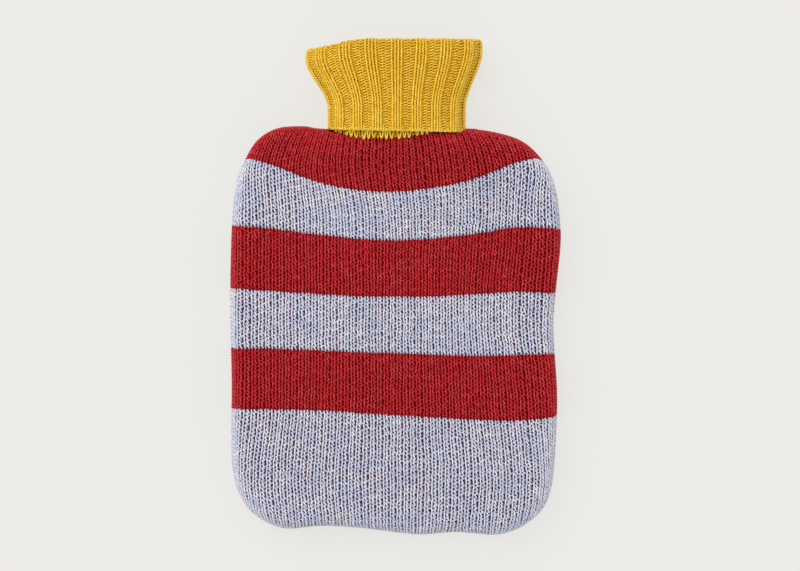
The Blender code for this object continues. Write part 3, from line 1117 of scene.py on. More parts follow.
@dataclass(frozen=True)
class KnitPlan:
    """How both panels are knitted: gauge, stripes and where their edges run across the body."""

    body: BodyForm = BodyForm()
    wale: float = 0.0043
    wales: int = 52
    flat_half_width: float = 0.1184
    stripe_courses: int = 16
    last_courses: int = 34
    shoulder_course: float = 0.0027
    shoulder_blend: float = 0.012
    join_overlap: float = 0.0012
    narrowing: float = 1.6
    narrow_peak: tuple[float, float] = (19.0, 15.0)
    narrow_last: tuple[float, float] = (26.0, 26.0)
    narrow_from: float = 0.074
    narrow_length: float = 0.031
    narrow_most: float = 1.3
    neck_lean: float = 0.09
    lean_middle: float = 0.063
    lean_length: float = 0.022
    lean_peak: tuple[float, float] = (8.0, 10.0)
    lean_last: tuple[float, float] = (16.0, 26.0)
    full_neck: float = 0.05
    full_neck_y: float = 0.075
    full_neck_length: float = 0.024
    full_foot: float = 0.06
    full_foot_y: float = -0.128
    full_foot_length: float = 0.034
    slim_right: float = 0.05
    slim_right_y: float = -0.012
    slim_right_length: float = 0.045
    slim_wales: float = 6.0
    packed_right: float = 0.085
    packed_right_y: float = 0.058
    packed_right_length: float = 0.034
    packed_powers: tuple[int, int] = (5, 16)
    crowding_power: float = 8.0
    margin: int = 4
    flat_rounds: int = 3
    stations: tuple[float, ...] = (-0.110, -0.080, -0.050, -0.025, 0.0, 0.025, 0.050, 0.080, 0.110)
    # Each row is one edge's height on the body at the stations, from the first stripe's lower edge
    # down to the seam, which lies past the outline because the cloth rolls under it.
    edges: tuple[tuple[float, ...], ...] = (
        (0.0895, 0.0800, 0.0684, 0.0638, 0.0627, 0.0653, 0.0705, 0.0822, 0.0912),
        (0.0408, 0.0383, 0.0346, 0.0320, 0.0309, 0.0321, 0.0347, 0.0395, 0.0385),
        (-0.0006, -0.0026, -0.0045, -0.0060, -0.0061, -0.0061, -0.0048, -0.0030, -0.0043),
        (-0.0404, -0.0404, -0.0414, -0.0426, -0.0432, -0.0443, -0.0450, -0.0444, -0.0436),
        (-0.0798, -0.0804, -0.0809, -0.0826, -0.0841, -0.0856, -0.0870, -0.0877, -0.0852),
        (-0.1700, -0.1682, -0.1666, -0.1678, -0.1708, -0.1717, -0.1710, -0.1685, -0.1680),
    )

    @property
    def stripes(self) -> list[tuple[StripeYarn, int, int]]:
        """Each stripe's yarn, first course and last course, from the neck down."""
        turns = [k * self.stripe_courses for k in range(len(self.edges))]
        turns.append(turns[-1] + self.last_courses)
        yarns = (StripeYarn.CRIMSON, StripeYarn.BLUE)
        return [(yarns[k % 2], a, b) for k, (a, b) in enumerate(zip(turns, turns[1:]))]

    @property
    def courses(self) -> int:
        """All the courses of a panel."""
        return self.stripes[-1][2]

    def course_y(self, x: np.ndarray, course: np.ndarray) -> np.ndarray:
        """How high on the flat cloth a course runs.

        Args:
            x: the places across the flat cloth.
            course: the course at each.

        Returns:
            The course's y at each place.
        """
        neck = self.body.neck
        stations = np.array(self.stations)
        lines = [smooth_line(x, stations, np.array(row)) for row in self.edges]
        free = lines[0] + self.stripe_courses * self.shoulder_course
        beside = smoothstep((np.abs(x) - neck.tube_half_width) / self.shoulder_blend)
        join = neck.join_y(x)
        rolled = self.body.overhang(self.body.bend(np.column_stack([x, join])))
        top = (join + self.join_overlap + rolled) * (1.0 - beside) + free * beside
        lines = [2 * top - lines[0], top, *lines]
        knots = [-self.stripe_courses, *(first for _, first, _ in self.stripes), self.courses]
        y = lines[0]
        for k in range(len(lines) - 1):
            # The last stripe's slope runs on past its own edge.
            most = 2.0 if k == len(lines) - 2 else 1.0
            share = np.clip((course - knots[k]) / (knots[k + 1] - knots[k]), 0.0, most)
            y = y + (lines[k + 1] - lines[k]) * share
        return y

    def wale_x(self, wale: np.ndarray, y: np.ndarray) -> np.ndarray:
        """Where on the flat cloth a wale runs, drawn in at the waist and towards the neck.

        Args:
            wale: the wales, counted from the middle to the right.
            y: the places along the flat cloth.

        Returns:
            The wale's x at each place.
        """
        spare = self.body.edge_spare
        sides = []
        for table, rising in ((self.body.left_side, 1), (self.body.right_side, -1)):
            # The sides without the rows that turn into the corners.
            rows = np.array(table[2:-1])[::rising]
            sides.append(np.abs(np.interp(y, rows[:, 1], rows[:, 0])) + spare)
        half, far = self.wales / 2, np.abs(wale)
        out = np.minimum(far / half, 1.0)
        full = 1.0 + self.full_neck * bell(y, self.full_neck_y, self.full_neck_length)
        full = full + self.full_foot * bell(y, self.full_foot_y, self.full_foot_length)
        slim = self.slim_right * bell(y, self.slim_right_y, self.slim_right_length)
        full = full - slim * smoothstep(wale / self.slim_wales)
        reach = np.where(wale < 0, sides[0], sides[1]) / self.flat_half_width - 1.0
        edge = self.flat_half_width / (half * self.wale) - full
        near, beyond = self.packed_powers
        packed = self.packed_right * bell(y, self.packed_right_y, self.packed_right_length)
        packed = packed * (wale > 0.0) * (out**near - out**beyond)
        x = wale * (full + reach * out**2 + edge * out**self.crowding_power - packed)
        peak, last = np.where(wale < 0, *self.narrow_peak), np.where(wale < 0, *self.narrow_last)
        moved = self.narrowing * smoothstep(far / peak) * smoothstep((last - far) / (last - peak))
        share = np.clip((y - self.narrow_from) / self.narrow_length, 0.0, self.narrow_most) ** 2
        peak, last = np.where(wale < 0, *self.lean_peak), np.where(wale < 0, *self.lean_last)
        lean = 2.0 * self.neck_lean * self.lean_length * smoothstep((last - far) / (last - peak))
        lean = lean * smoothstep((y - self.lean_middle) / (2 * self.lean_length) + 0.5)
        return self.wale * (x - np.sign(wale) * moved * share) - lean

    def flat(self, wale: np.ndarray, course: np.ndarray) -> np.ndarray:
        """Points of the flat cloth.

        Args:
            wale: the wale of each.
            course: the course of each.

        Returns:
            The points, one row each.
        """
        x = wale * self.wale
        for _ in range(self.flat_rounds):
            y = self.course_y(x, course)
            x = self.wale_x(wale, y)
        return np.column_stack([x, y])


@dataclass
class KnitPanel:
    """One panel of the body, in stocking stitch worn upside down, with a sheet behind it for the cloth's
    reverse, dark with painted shade.
    """

    plan: KnitPlan
    side: Side
    stitch: Stitch = Stitch(
        lean=0.125, second_lean=0.29, reach=0.85, rise=0.00070, sink=0.0010, draw=0.30, swell=0.02
    )
    yarn_radius: float = 0.00064
    yarn_depth: float = 0.0015
    samples: int = 8
    seam_room: float = 0.0008
    stitch_room: float = 0.0002
    edge_room: float = 0.0004
    join_room: float = 0.0018
    foot_lift: float = 0.0007
    stripe_tuck: float = 0.0009
    map_step: float = 0.5
    waviness: float = 0.00035
    wave_nodes: tuple[int, int] = (24, 18)
    wave_wales: float = 4.0
    wave_courses: float = 6.0
    gap_change: float = 0.00036
    gap_rows: int = 6
    gap_courses: float = 30.0
    across_swing: float = 0.052
    along_swing: float = 0.085
    foot_swing: float = 0.0003
    out_swing: float = 0.00006
    girth_swing: float = 0.05
    backing_depth: float = 0.0021
    backing_thickness: float = 0.0009
    backing_courses: float = 2.0
    backing_edge_step: int = 2
    clear_of_rim: float = 0.0015
    clear_of_neck: float = 0.0040
    clear_of_join: float = 0.0012
    place_rounds: int = 6
    open_wale: float = 20.0
    open_blend: float = 0.4
    open_gap: float = 0.0005
    gather: float = 0.035
    gather_courses: float = 14.0
    shoulder_courses: int = 2
    seed: int = 5

    @property
    def label(self) -> str:
        """The panel's name in its pieces' names."""
        return self.side.name.lower()

    @cached_property
    def cloth(self) -> ClothMap:
        """The panel's outer face, mapped by wale and course."""
        plan = self.plan
        half, margin, step = plan.wales / 2 + 2, plan.margin, self.map_step
        wales = np.arange(-half, half + step / 2, step)
        courses = np.arange(-margin, plan.courses + margin + step / 2, step)
        shape = (len(courses), len(wales))
        w, c = (grid.ravel() for grid in np.meshgrid(wales, courses))
        flat = plan.flat(w, c)
        column, row = (w + half) / self.wave_wales, (c + margin) / self.wave_courses
        flat[:, 0] += self.waviness * grid_value(drift_grid(self.seed, *self.wave_nodes), column, row)
        drift = drift_grid(self.seed + 2, self.gap_rows, plan.wales + 6)
        flat[:, 0] += self.gap_change * grid_value(drift, w + half, (c + margin) / self.gap_courses)
        if self.side is Side.FRONT:
            past = (w - self.open_wale + self.open_blend) / (2 * self.open_blend)
            flat[:, 0] += self.open_gap * smoothstep(past)
        points, spare = plan.body.lay(flat, self.side.value)
        neck = plan.body.neck
        under_neck = np.abs(flat[:, 0]) < neck.tube_half_width
        join = np.where(under_neck, neck.join_y(flat[:, 0]) - flat[:, 1] + self.join_room, 1.0)
        spare = np.minimum(spare - self.stitch_room, join)
        return ClothMap(points.reshape(*shape, 3), spare.reshape(shape), -half, -margin, step)

    @cached_property
    def crossings(self) -> np.ndarray:
        """Which courses' feet show between each pair of wales: every second one, from 0 or from 1."""
        return np.random.default_rng(self.seed + 1).integers(0, 2, self.plan.wales + 1)

    def course(self, number: int, rng: np.random.Generator, work: YarnWork) -> None:
        """Knits one course into a mesh, where there is cloth for it.

        Args:
            number: the course, counted from the neck.
            rng: where its unevenness comes from.
            work: the mesh that it goes into.
        """
        half = self.plan.wales // 2
        turn = np.arange(-half * self.samples, half * self.samples + 1) * (TAU / self.samples)
        middle = number + 0.5
        cloth = self.cloth
        room = cloth.find(cloth.spare, turn / TAU, np.full(len(turn), middle)) > 0.0
        across, along, out = self.stitch.track(turn, np.ones(len(turn)))
        across = across + self.gather * math.exp(-((middle / self.gather_courses) ** 2)) * np.sin(turn)
        across = across + uneven(rng, turn, self.across_swing)
        along = along + uneven(rng, turn, self.along_swing)
        foot = ((1.0 + np.cos(turn)) / 2) ** 2
        raised = (number + self.crossings[np.round(turn / TAU).astype(int) + half]) % 2
        lift = np.abs(uneven(rng, turn, self.foot_swing)) + self.foot_lift * raised
        if number in [first for _, first, _ in self.plan.stripes]:
            lift = -self.stripe_tuck
        if number + 1 in [last for _, _, last in self.plan.stripes]:
            out = out - self.stripe_tuck * ((1.0 - np.cos(turn)) / 2) ** 4
        out = out + uneven(rng, turn, self.out_swing) + foot * lift
        girth = 1.0 + uneven(rng, turn, self.girth_swing)
        # How near the face each point lies: the mask of the painted shade on the yarn.
        crest = self.stitch.crest(out)
        centre, direction = cloth.at(across, middle + along, self.yarn_depth - out, self.side.value)
        room = room & (self.plan.body.nearest(centre[:, :2])[0] < self.edge_room)
        edges = np.flatnonzero(np.diff(np.concatenate([[0], room.astype(int), [0]])))
        for first, last in zip(edges[::2], edges[1::2]):
            if last - first > self.samples:
                work.add(centre[first:last], direction[first:last], girth[first:last], crest[first:last])

    def make_stripes(self, finishes: dict[StripeYarn, bpy.types.Material]) -> list[bpy.types.Object]:
        """Knits the panel, a mesh for each stripe.

        Args:
            finishes: each yarn's material.

        Returns:
            The stripes, from the neck down.
        """
        rng = np.random.default_rng(self.seed)
        pieces = []
        for number, (yarn, first, last) in enumerate(self.plan.stripes, 1):
            work = YarnWork(f"{self.label}_{yarn.value}_stripe_{number}", self.yarn_radius)
            for course in range(first if first else -self.shoulder_courses, last):
                self.course(course, rng, work)
            pieces.append(work.make(finishes[yarn]))
        return pieces

    def edge_line(self) -> np.ndarray:
        """The panel's edge on the flat cloth: the seam all round, and the join under the neck.

        Returns:
            The edge's points, one row each.
        """
        body = self.plan.body
        bend = body.bend(body.outline)
        reach = body.overhang(bend) - self.seam_room * bend
        line = body.outline + body.outline_out * reach[:, None]
        neck = (np.abs(body.outline[:, 0]) < body.neck.tube_half_width) & (body.outline[:, 1] > 0)
        line[neck, 1] = body.neck.join_y(line[neck, 0])
        return line

    def make_backing(self, material: bpy.types.Material) -> bpy.types.Object:
        """Makes the reverse of the cloth, as a thin closed sheet behind the stitches.

        Args:
            material: its finish.

        Returns:
            The backing.
        """
        plan, body = self.plan, self.plan.body
        edge = self.edge_line()[:: self.backing_edge_step]
        half = plan.wales / 2
        courses = np.arange(0, plan.courses + 1, self.backing_courses)
        w, c = np.meshgrid(np.arange(-half, half + 0.5), courses)
        inner = plan.flat(w.ravel(), c.ravel())
        _, spare = body.lay(inner, self.side.value)
        below = body.neck.join_y(inner[:, 0]) - inner[:, 1]
        under = np.abs(inner[:, 0]) < body.neck.tube_half_width + self.clear_of_neck
        keep = (spare > self.seam_room + self.clear_of_rim) & (~under | (below > self.clear_of_join))
        flat = np.concatenate([edge, inner[keep]])
        n = len(edge)
        ring = [(k, (k + 1) % n) for k in range(n)]
        inside_only, tolerance = 1, 1e-7
        points = [Vector(p) for p in flat]
        made = delaunay_2d_cdt(points, ring, [list(range(n))], inside_only, tolerance)
        flat, faces = np.array([tuple(p) for p in made[0]]), made[2]
        knit = self.knit_place(flat)
        face, spare = body.lay(flat, self.side.value)
        level = np.zeros(len(flat))
        out = self.cloth.at(knit[:, 0], knit[:, 1] * plan.courses, level, self.side.value)[1]
        depth = np.minimum(self.backing_depth, self.seam_room + np.maximum(spare, 0.0) / 2)[:, None]
        sheets = [face - out * depth, face - out * (depth + self.backing_thickness)]
        return closed_sheet(f"{self.label}_backing", sheets, faces, knit, self.side.value, material)

    def knit_place(self, flat: np.ndarray) -> np.ndarray:
        """Where points of the flat cloth lie in the knitting.

        Args:
            flat: the points, one row each.

        Returns:
            The wale and the share of all the courses at each.
        """
        plan = self.plan
        courses = np.arange(-plan.margin, plan.courses + plan.margin + 1.0)
        lines = np.stack([plan.course_y(flat[:, 0], np.full(len(flat), c)) for c in courses])
        course = np.array([np.interp(-y, -lines[:, k], courses) for k, y in enumerate(flat[:, 1])])
        wale = flat[:, 0] / plan.wale
        for _ in range(self.place_rounds):
            wale = wale + (flat[:, 0] - plan.wale_x(wale, flat[:, 1])) / plan.wale
        return np.column_stack([wale, course / plan.courses])


def closed_sheet(
    name: str,
    sheets: list[np.ndarray],
    faces: list[list[int]],
    knit: np.ndarray,
    side: int,
    material: bpy.types.Material,
) -> bpy.types.Object:
    """Closes two like layers of faces into a thin solid sheet.

    Args:
        name: the piece's name.
        sheets: the points of the outer and the inner layer.
        faces: the faces of one layer, as numbers of points.
        knit: the UV of each point.
        side: 1 where the faces turn anticlockwise seen from outside, -1 where they don't.
        material: its finish.

    Returns:
        The new object.
    """
    count = len(sheets[0])
    layer = [list(f) if side > 0 else list(f)[::-1] for f in faces]
    around: dict[tuple[int, int], int] = {}
    for f in layer:
        for a, b in zip(f, f[1:] + f[:1]):
            around[(a, b)] = around.get((a, b), 0) + 1
    rim = [[b, a, a + count, b + count] for (a, b) in around if (b, a) not in around]
    all_faces = layer + [[k + count for k in f[::-1]] for f in layer] + rim
    mesh = bpy.data.meshes.new(name)
    mesh.from_pydata([tuple(p) for p in np.concatenate(sheets)], [], all_faces)
    uv = mesh.uv_layers.new(name="knit")
    corner = np.zeros(len(mesh.loops), np.int32)
    mesh.loops.foreach_get("vertex_index", corner)
    uv.data.foreach_set("uv", np.concatenate([knit, knit])[corner].astype(np.float32).ravel())
    mesh.shade_smooth()
    mesh.materials.append(material)
    obj = bpy.data.objects.new(name, mesh)
    bpy.context.scene.collection.objects.link(obj)
    return obj


# ---------------------------------------------------------------- the side seam
@dataclass
class EdgeSeam:
    """The overcast seam that joins the two panels round the body, in each stripe's own yarn."""

    plan: KnitPlan
    inset: float = 0.0007
    coil_out: float = 0.00035
    coil_up: float = 0.0015
    pitch: float = 0.0018
    yarn_radius: float = 0.00055
    steps: int = 6
    clear_of_neck: float = 0.0030

    def make(self, finishes: dict[StripeYarn, bpy.types.Material]) -> list[bpy.types.Object]:
        """Sews the seam.

        Args:
            finishes: each yarn's material.

        Returns:
            The seam's stitches, a mesh for each yarn.
        """
        plan, body = self.plan, self.plan.body
        # It runs clockwise from one side of the neck to the other.
        line, out = (np.roll(a, -body.past_neck, axis=0) for a in (body.outline, body.outline_out))
        line, out = (np.concatenate([a, a[:1]])[: len(a) - body.curve_steps + 1] for a in (line, out))
        length = np.concatenate([[0.0], np.cumsum(np.linalg.norm(np.diff(line, axis=0), axis=1))])
        places = np.arange(self.clear_of_neck, length[-1] - self.clear_of_neck, self.pitch / self.steps)
        line, out = (
            np.column_stack([np.interp(places, length, a[:, k]) for k in (0, 1)]) for a in (line, out)
        )
        turn = places / self.pitch * TAU
        plan_points = line - out * (self.inset - self.coil_out * np.cos(turn))[:, None]
        centre = np.column_stack([plan_points, body.seam(line) + self.coil_up * np.sin(turn)])
        direction = np.column_stack([out, np.zeros(len(out))])
        rolled = line + out * body.edge_spare
        course = KnitPanel(plan, Side.FRONT).knit_place(rolled)[:, 1] * plan.courses
        works = {yarn: YarnWork(f"seam_{yarn.value}", self.yarn_radius) for yarn in StripeYarn}
        stripe = np.searchsorted([last for _, _, last in plan.stripes[:-1]], course)
        changes = np.flatnonzero(np.diff(np.concatenate([[-1], stripe, [-1]])))
        for first, last in zip(changes, changes[1:]):
            yarn = plan.stripes[stripe[first]][0]
            if last - first > self.steps:
                works[yarn].add(centre[first:last], direction[first:last])
        return [work.make(finishes[yarn]) for yarn, work in works.items()]


# ---------------------------------------------------------------- the rib neck
@dataclass
class RibNeck:
    """The two-and-two rib: one tube, folded over outward, worked wale by wale round its girth."""

    form: NeckForm
    stitch: Stitch = Stitch(lean=0.155, second_lean=0.155, reach=0.75, rise=0.00045, sink=0.0, tilt=0.23)
    yarn_radius: float = 0.00053
    knit_lift: float = 0.0005
    knit_hide: float = 0.0006
    wales_in_rib: int = 4
    first_wale: int = -16
    samples: int = 8
    inner_samples: int = 6
    inner_courses: int = 17
    base_courses: int = 4
    skew: float = -0.4
    skew_from: float = 5.0
    skew_until: float = 3.0
    skew_fade: float = 4.0
    backing_first: float = 0.4
    backing_offset: float = 0.00065
    foot_offset: float = 0.0012
    foot_offset_from: float = 50.0
    foot_offset_courses: float = 8.0
    backing_thickness: float = 0.0006
    tuck: float = 1.6
    foot_stitch: Stitch = Stitch(lean=0.16, second_lean=0.16, reach=0.80, rise=0.00045, sink=0.0)
    tooth_stitch: Stitch = Stitch(
        lean=0.02, second_lean=0.02, reach=1.55, rise=0.00050, sink=0.0, tuck=-0.0016
    )
    face_turn: float = 0.15
    across_swing: float = 0.03
    along_swing: float = 0.05
    depth_swing: float = 0.00004
    girth_swing: float = 0.05
    knit_girth: float = 0.38
    purl_girth: float = 1.00
    purl_sink: float = 0.0004
    foot_up: float = 0.9
    purl_short: float = 0.28
    tooth_shift: float = 0.5
    tooth_girth: float = 0.82
    tooth_change: float = 0.16
    rim_courses: float = 6.0
    rounding: float = 0.8
    rounding_courses: float = 1.4
    ridge_coil: float = 0.0004
    ridge_level: float = 0.15
    ridge_wave: float = 0.22
    ridge_lift: float = 0.6
    ridge_steps: int = 8
    map_step: float = 0.25
    seed: int = 11
    rib_phases: tuple[float, ...] = (0.0, 0.17, 0.29, 0.71, 0.83, 1.0)
    rib_heights: tuple[float, ...] = (1.0, 0.75, -0.9, -0.9, 0.75, 1.0)

    @property
    def wales(self) -> int:
        """All the wales round the neck."""
        return self.form.repeats * self.wales_in_rib

    def point(self, wale: np.ndarray, course: np.ndarray) -> np.ndarray:
        """The middle of the cloth.

        Args:
            wale: the wale of each place.
            course: the course of each place, from the loose edge.

        Returns:
            The points in the frame.
        """
        repeat = (wale - 1.0) / self.wales_in_rib
        rib = np.interp(repeat % 1.0, self.rib_phases, self.rib_heights)
        return self.form.place(repeat / self.form.repeats, course, rib)

    @cached_property
    def cloth(self) -> ClothMap:
        """The middle of the neck's cloth, mapped by wale and course."""
        first_wale, first_course, step = self.first_wale - 2.0, -2.0, self.map_step
        wales = np.arange(first_wale, self.first_wale + self.wales + 2.0 + step, step)
        courses = np.arange(first_course, self.form.courses + self.tuck + 1.0 + step, step)
        w, c = np.meshgrid(wales, courses)
        points = self.point(w.ravel(), c.ravel()).reshape(*w.shape, 3)
        return ClothMap(points, np.ones(w.shape), first_wale, first_course, step)

    def course(
        self, middle: float, samples: int, side: int, rng: np.random.Generator, work: YarnWork
    ) -> None:
        """Works one course round the neck.

        Args:
            middle: where the course lies.
            samples: how many points a stitch has.
            side: 1 for the collar's face and -1 for the tube's foot, whose ribs run on from the collar's.
            rng: where its unevenness comes from.
            work: the mesh that it goes into.
        """
        last = self.first_wale + self.wales
        turn = np.arange(self.first_wale * samples, last * samples + 1) * (TAU / samples)
        tooth = side < 0 and middle > self.form.courses - self.foot_up - 0.5
        shift = self.tooth_shift if tooth else 0.0
        place = (turn / TAU + shift + (0 if side > 0 else 2)) % self.wales_in_rib
        grown = self.rounding * math.exp(-middle / self.rounding_courses) if side > 0 else 0.0
        soft, to_purl, to_knit = self.face_turn, 2.0 + grown, 4.0 - grown
        knots = (0.0, soft, to_purl - soft, to_purl + soft, to_knit - soft, to_knit + soft)
        face = np.interp(place, knots, (0.0, 1.0, 1.0, -1.0, -1.0, 1.0 if grown > soft else 0.0))
        if tooth:
            knots = (2.5 - soft, 2.5 + soft, 3.5 - soft, 3.5 + soft)
            face = np.interp(place, knots, (1.0, -1.0, -1.0, 1.0))
        stitch = self.stitch if side > 0 else (self.tooth_stitch if tooth else self.foot_stitch)
        across, along, out = stitch.track(turn, face)
        across = across + shift
        if tooth:
            along = along * (1.0 - self.purl_short * (face < 0.0))
        along = side * along
        # How near the face each point lies: the mask of the painted shade on the yarn.
        crest = stitch.crest(out)
        collar = self.form.collar_courses
        strength = self.skew * ease(middle / self.skew_from)
        strength *= 1.0 - ease((middle - collar + self.skew_until) / self.skew_fade)
        along = np.interp(place, (0.0, 2.0, 4.0), (-0.5, 0.5, -0.5)) * strength - along
        across = across + uneven(rng, turn, self.across_swing)
        along = along + uneven(rng, turn, self.tooth_change if tooth else self.along_swing)
        knit = np.maximum(face, 0.0)
        lift = self.knit_lift
        if side > 0:
            lift = lift * ease((collar - middle) / self.rim_courses)
        out = out + lift * knit - self.knit_hide * knit * np.cos(turn) ** 2
        if side > 0:
            out = out - self.purl_sink * (1.0 - knit)
        depth = -out - uneven(rng, turn, self.depth_swing)
        girth = self.purl_girth + (1.0 + self.knit_girth - self.purl_girth) * knit
        girth = (girth + uneven(rng, turn, self.girth_swing)) * (self.tooth_girth if tooth else 1.0)
        centre, direction = self.cloth.at(across, middle + along, side * depth, 1)
        work.add(centre, side * direction, girth, crest)

    def ridge(self, work: YarnWork) -> None:
        """Adds the bound-off ridge along the collar's loose edge.

        Args:
            work: the mesh that it goes into.
        """
        last, steps = self.first_wale + self.wales, self.ridge_steps
        turn = np.arange(self.first_wale * steps, last * steps + 1) * (TAU / steps)
        for phase, level in ((0.0, self.ridge_level), (math.pi, -self.ridge_level)):
            along = level + self.ridge_wave * np.cos(turn + phase)
            depth = -self.ridge_coil * (self.ridge_lift + np.sin(turn + phase))
            centre, direction = self.cloth.at(turn / TAU, along, depth, 1)
            work.add(centre, direction)

    def make_knitting(self, material: bpy.types.Material) -> list[bpy.types.Object]:
        """Works the parts of the neck that show.

        Args:
            material: the yarn's finish.

        Returns:
            The collar, the fold with the inside of the tube, and the foot of the tube under the collar.
        """
        rng = np.random.default_rng(self.seed)
        collar = YarnWork("rib_collar", self.yarn_radius)
        for number in range(int(self.form.collar_courses)):
            self.course(number + 0.5, self.samples, 1, rng, collar)
        self.ridge(collar)
        inner = YarnWork("rib_fold_and_inside", self.yarn_radius)
        for number in range(self.inner_courses):
            self.course(self.form.collar_courses + number + 0.5, self.inner_samples, 1, rng, inner)
        base = YarnWork("rib_foot", self.yarn_radius)
        for number in range(self.base_courses):
            self.course(self.form.courses - number - self.foot_up, self.samples, -1, rng, base)
        return [work.make(material) for work in (collar, inner, base)]

    def make_backing(self, material: bpy.types.Material) -> bpy.types.Object:
        """Makes the cloth behind the stitches, from the loose edge over the fold and down to the join.

        Args:
            material: its finish.

        Returns:
            The backing.
        """
        courses = np.arange(self.backing_first, self.form.courses + self.tuck, 1.0)
        wales = np.arange(self.first_wale, self.first_wale + self.wales)
        w, c = (grid.ravel() for grid in np.meshgrid(wales, courses))
        inner = smoothstep((c - self.foot_offset_from) / self.foot_offset_courses)
        offset = self.foot_offset * inner - self.backing_offset * (1.0 - inner)
        sheets = []
        for layer in (0.5, -0.5):
            depth = -(offset + layer * self.backing_thickness)
            sheets.append(self.cloth.at(w.astype(float), c, depth)[0])
        faces = []
        for row in range(len(courses) - 1):
            for k in range(self.wales):
                nxt = (k + 1) % self.wales
                a, b = row * self.wales, (row + 1) * self.wales
                faces.append([a + k, a + nxt, b + nxt, b + k])
        knit = np.column_stack([w, c / self.form.courses])
        return closed_sheet("rib_backing", sheets, faces, knit, -1, material)


# ---------------------------------------------------------------- the studio
@dataclass(frozen=True)
class Studio:
    """A pale floor, soft light and a camera straight above the cover."""

    pixel: float = 0.00066
    frame_width: int = 800
    frame_height: int = 571
    middle_column: float = 395.5
    middle_row: float = 286.75
    camera_distance: float = 3.0
    camera_reach: float = 20.0
    focus_height: float = 0.016
    sensor: float = 36.0
    floor_size: float = 6.0
    floor_roughness: float = 0.95
    floor_colour: Colour = (0.13, 0.128, 0.124, 1.0)
    floor_glow_colour: Colour = (1.0, 0.99, 0.955, 1.0)
    floor_glow: float = 0.70
    sky_colour: Colour = (1.0, 0.99, 0.965, 1.0)
    sky_strength: float = 0.80
    key_strength: float = 1.35
    key_angle: float = 60.0
    key_from: tuple[float, float, float] = (-0.45, 0.55, 1.0)

    def place_camera(self) -> None:
        """Sets the camera straight above, so that the cover fills the frame as it should."""
        camera = bpy.data.cameras.new("camera")
        camera.sensor_width = self.sensor
        camera.lens = self.sensor * self.camera_distance / (self.frame_width * self.pixel)
        camera.clip_end = self.camera_reach
        obj = bpy.data.objects.new("camera", camera)
        x = (self.frame_width / 2 - self.middle_column) * self.pixel
        y = (self.middle_row - self.frame_height / 2) * self.pixel
        obj.location = (x, y, self.focus_height + self.camera_distance)
        bpy.context.scene.collection.objects.link(obj)
        bpy.context.scene.camera = obj

    def light(self) -> None:
        """Lights the cover with an even pale sky and one broad soft lamp."""
        world = bpy.data.worlds.new("soft_sky")
        world.use_nodes = True
        sky = world.node_tree.nodes["Background"]
        sky.inputs["Color"].default_value = self.sky_colour
        sky.inputs["Strength"].default_value = self.sky_strength
        bpy.context.scene.world = world
        lamp = bpy.data.lights.new("soft_key", "SUN")
        lamp.energy = self.key_strength
        lamp.angle = math.radians(self.key_angle)
        obj = bpy.data.objects.new("soft_key", lamp)
        obj.rotation_mode = "QUATERNION"
        obj.rotation_quaternion = Vector(self.key_from).to_track_quat("Z", "Y")
        bpy.context.scene.collection.objects.link(obj)

    def lay_floor(self) -> None:
        """Lays the pale floor."""
        half = self.floor_size / 2
        mesh = bpy.data.meshes.new("floor")
        corners = [(-half, -half, 0), (half, -half, 0), (half, half, 0), (-half, half, 0)]
        mesh.from_pydata(corners, [], [(0, 1, 2, 3)])
        material = bpy.data.materials.new("pale_floor")
        material.use_nodes = True
        shader = material.node_tree.nodes["Principled BSDF"]
        shader.inputs["Base Color"].default_value = self.floor_colour
        shader.inputs["Roughness"].default_value = self.floor_roughness
        shader.inputs["Specular IOR Level"].default_value = 0.0
        shader.inputs["Emission Color"].default_value = self.floor_glow_colour
        shader.inputs["Emission Strength"].default_value = self.floor_glow
        mesh.materials.append(material)
        obj = bpy.data.objects.new("floor", mesh)
        bpy.context.scene.collection.objects.link(obj)


# ---------------------------------------------------------------- the whole cover
SLOTS = {StripeYarn.CRIMSON: "crimson_knit", StripeYarn.BLUE: "pale_blue_knit"}
NECK_SLOT = "mustard_rib"
SEEDS = {Side.FRONT: 5, Side.BACK: 23}
SAMPLES = {Side.FRONT: 8, Side.BACK: 6}


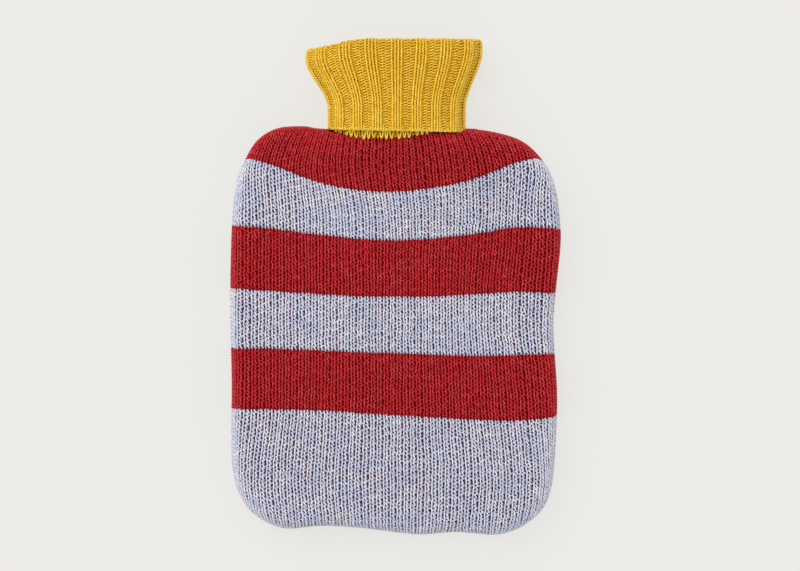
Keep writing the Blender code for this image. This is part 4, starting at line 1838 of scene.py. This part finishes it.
def attach(obj: bpy.types.Object, slot: str, *nodes: str) -> bpy.types.Object:
    """Makes a piece ride the cover, in the place of some of the frame's solids.

    Args:
        obj: the piece.
        slot: the material slot that it stands for; it is not used.
        nodes: the solids that it takes the place of.

    Returns:
        The piece.
    """
    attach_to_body(obj, "root")
    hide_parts(*nodes)
    log.info("%s: %d faces", obj.name, len(obj.data.polygons))
    return obj


def main() -> None:
    """Builds the cover and the studio round it."""
    logging.basicConfig(level=logging.INFO, format="%(message)s")
    bpy.context.scene.view_settings.view_transform = "Standard"
    studio = Studio()
    studio.place_camera()
    studio.light()
    studio.lay_floor()

    effects = YarnEffects()
    finishes = {StripeYarn.CRIMSON: CRIMSON_YARN.make(effects), StripeYarn.BLUE: BLUE_YARN.make(effects)}
    plan = KnitPlan()
    changes = tuple(last / plan.courses for _, _, last in plan.stripes[:-1])
    turns = [k % 2 for k in range(len(plan.stripes))]
    striped_backing = BackingFinish(
        name="striped_backing",
        between=tuple((GAP_SHADE_IN_CRIMSON, GAP_SHADE_IN_BLUE)[k] for k in turns),
        within=tuple((HOLE_SHADE_IN_CRIMSON, HOLE_SHADE_IN_BLUE)[k] for k in turns),
        changes=changes,
    ).make(effects)
    for side in Side:
        panel = KnitPanel(plan, side, seed=SEEDS[side], samples=SAMPLES[side])
        node = f"{panel.label}_panel"
        stripes = panel.make_stripes(finishes)
        for piece, (yarn, _, _) in zip(stripes, plan.stripes):
            attach(piece, SLOTS[yarn], node)
        backing = attach(panel.make_backing(striped_backing), SLOTS[StripeYarn.CRIMSON], node)
        edge = panel.edge_line()
    for piece, yarn in zip(EdgeSeam(plan).make(finishes), StripeYarn):
        attach(piece, SLOTS[yarn], "front_panel", "back_panel")

    neck = RibNeck(plan.body.neck)
    pieces = neck.make_knitting(MUSTARD_YARN.make(effects))
    knitting = [attach(piece, NECK_SLOT, "rib_neck") for piece in pieces]
    backing = attach(neck.make_backing(MUSTARD_BACKING.make(effects)), NECK_SLOT, "rib_neck")

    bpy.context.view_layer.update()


if __name__ == "__main__":
    main()
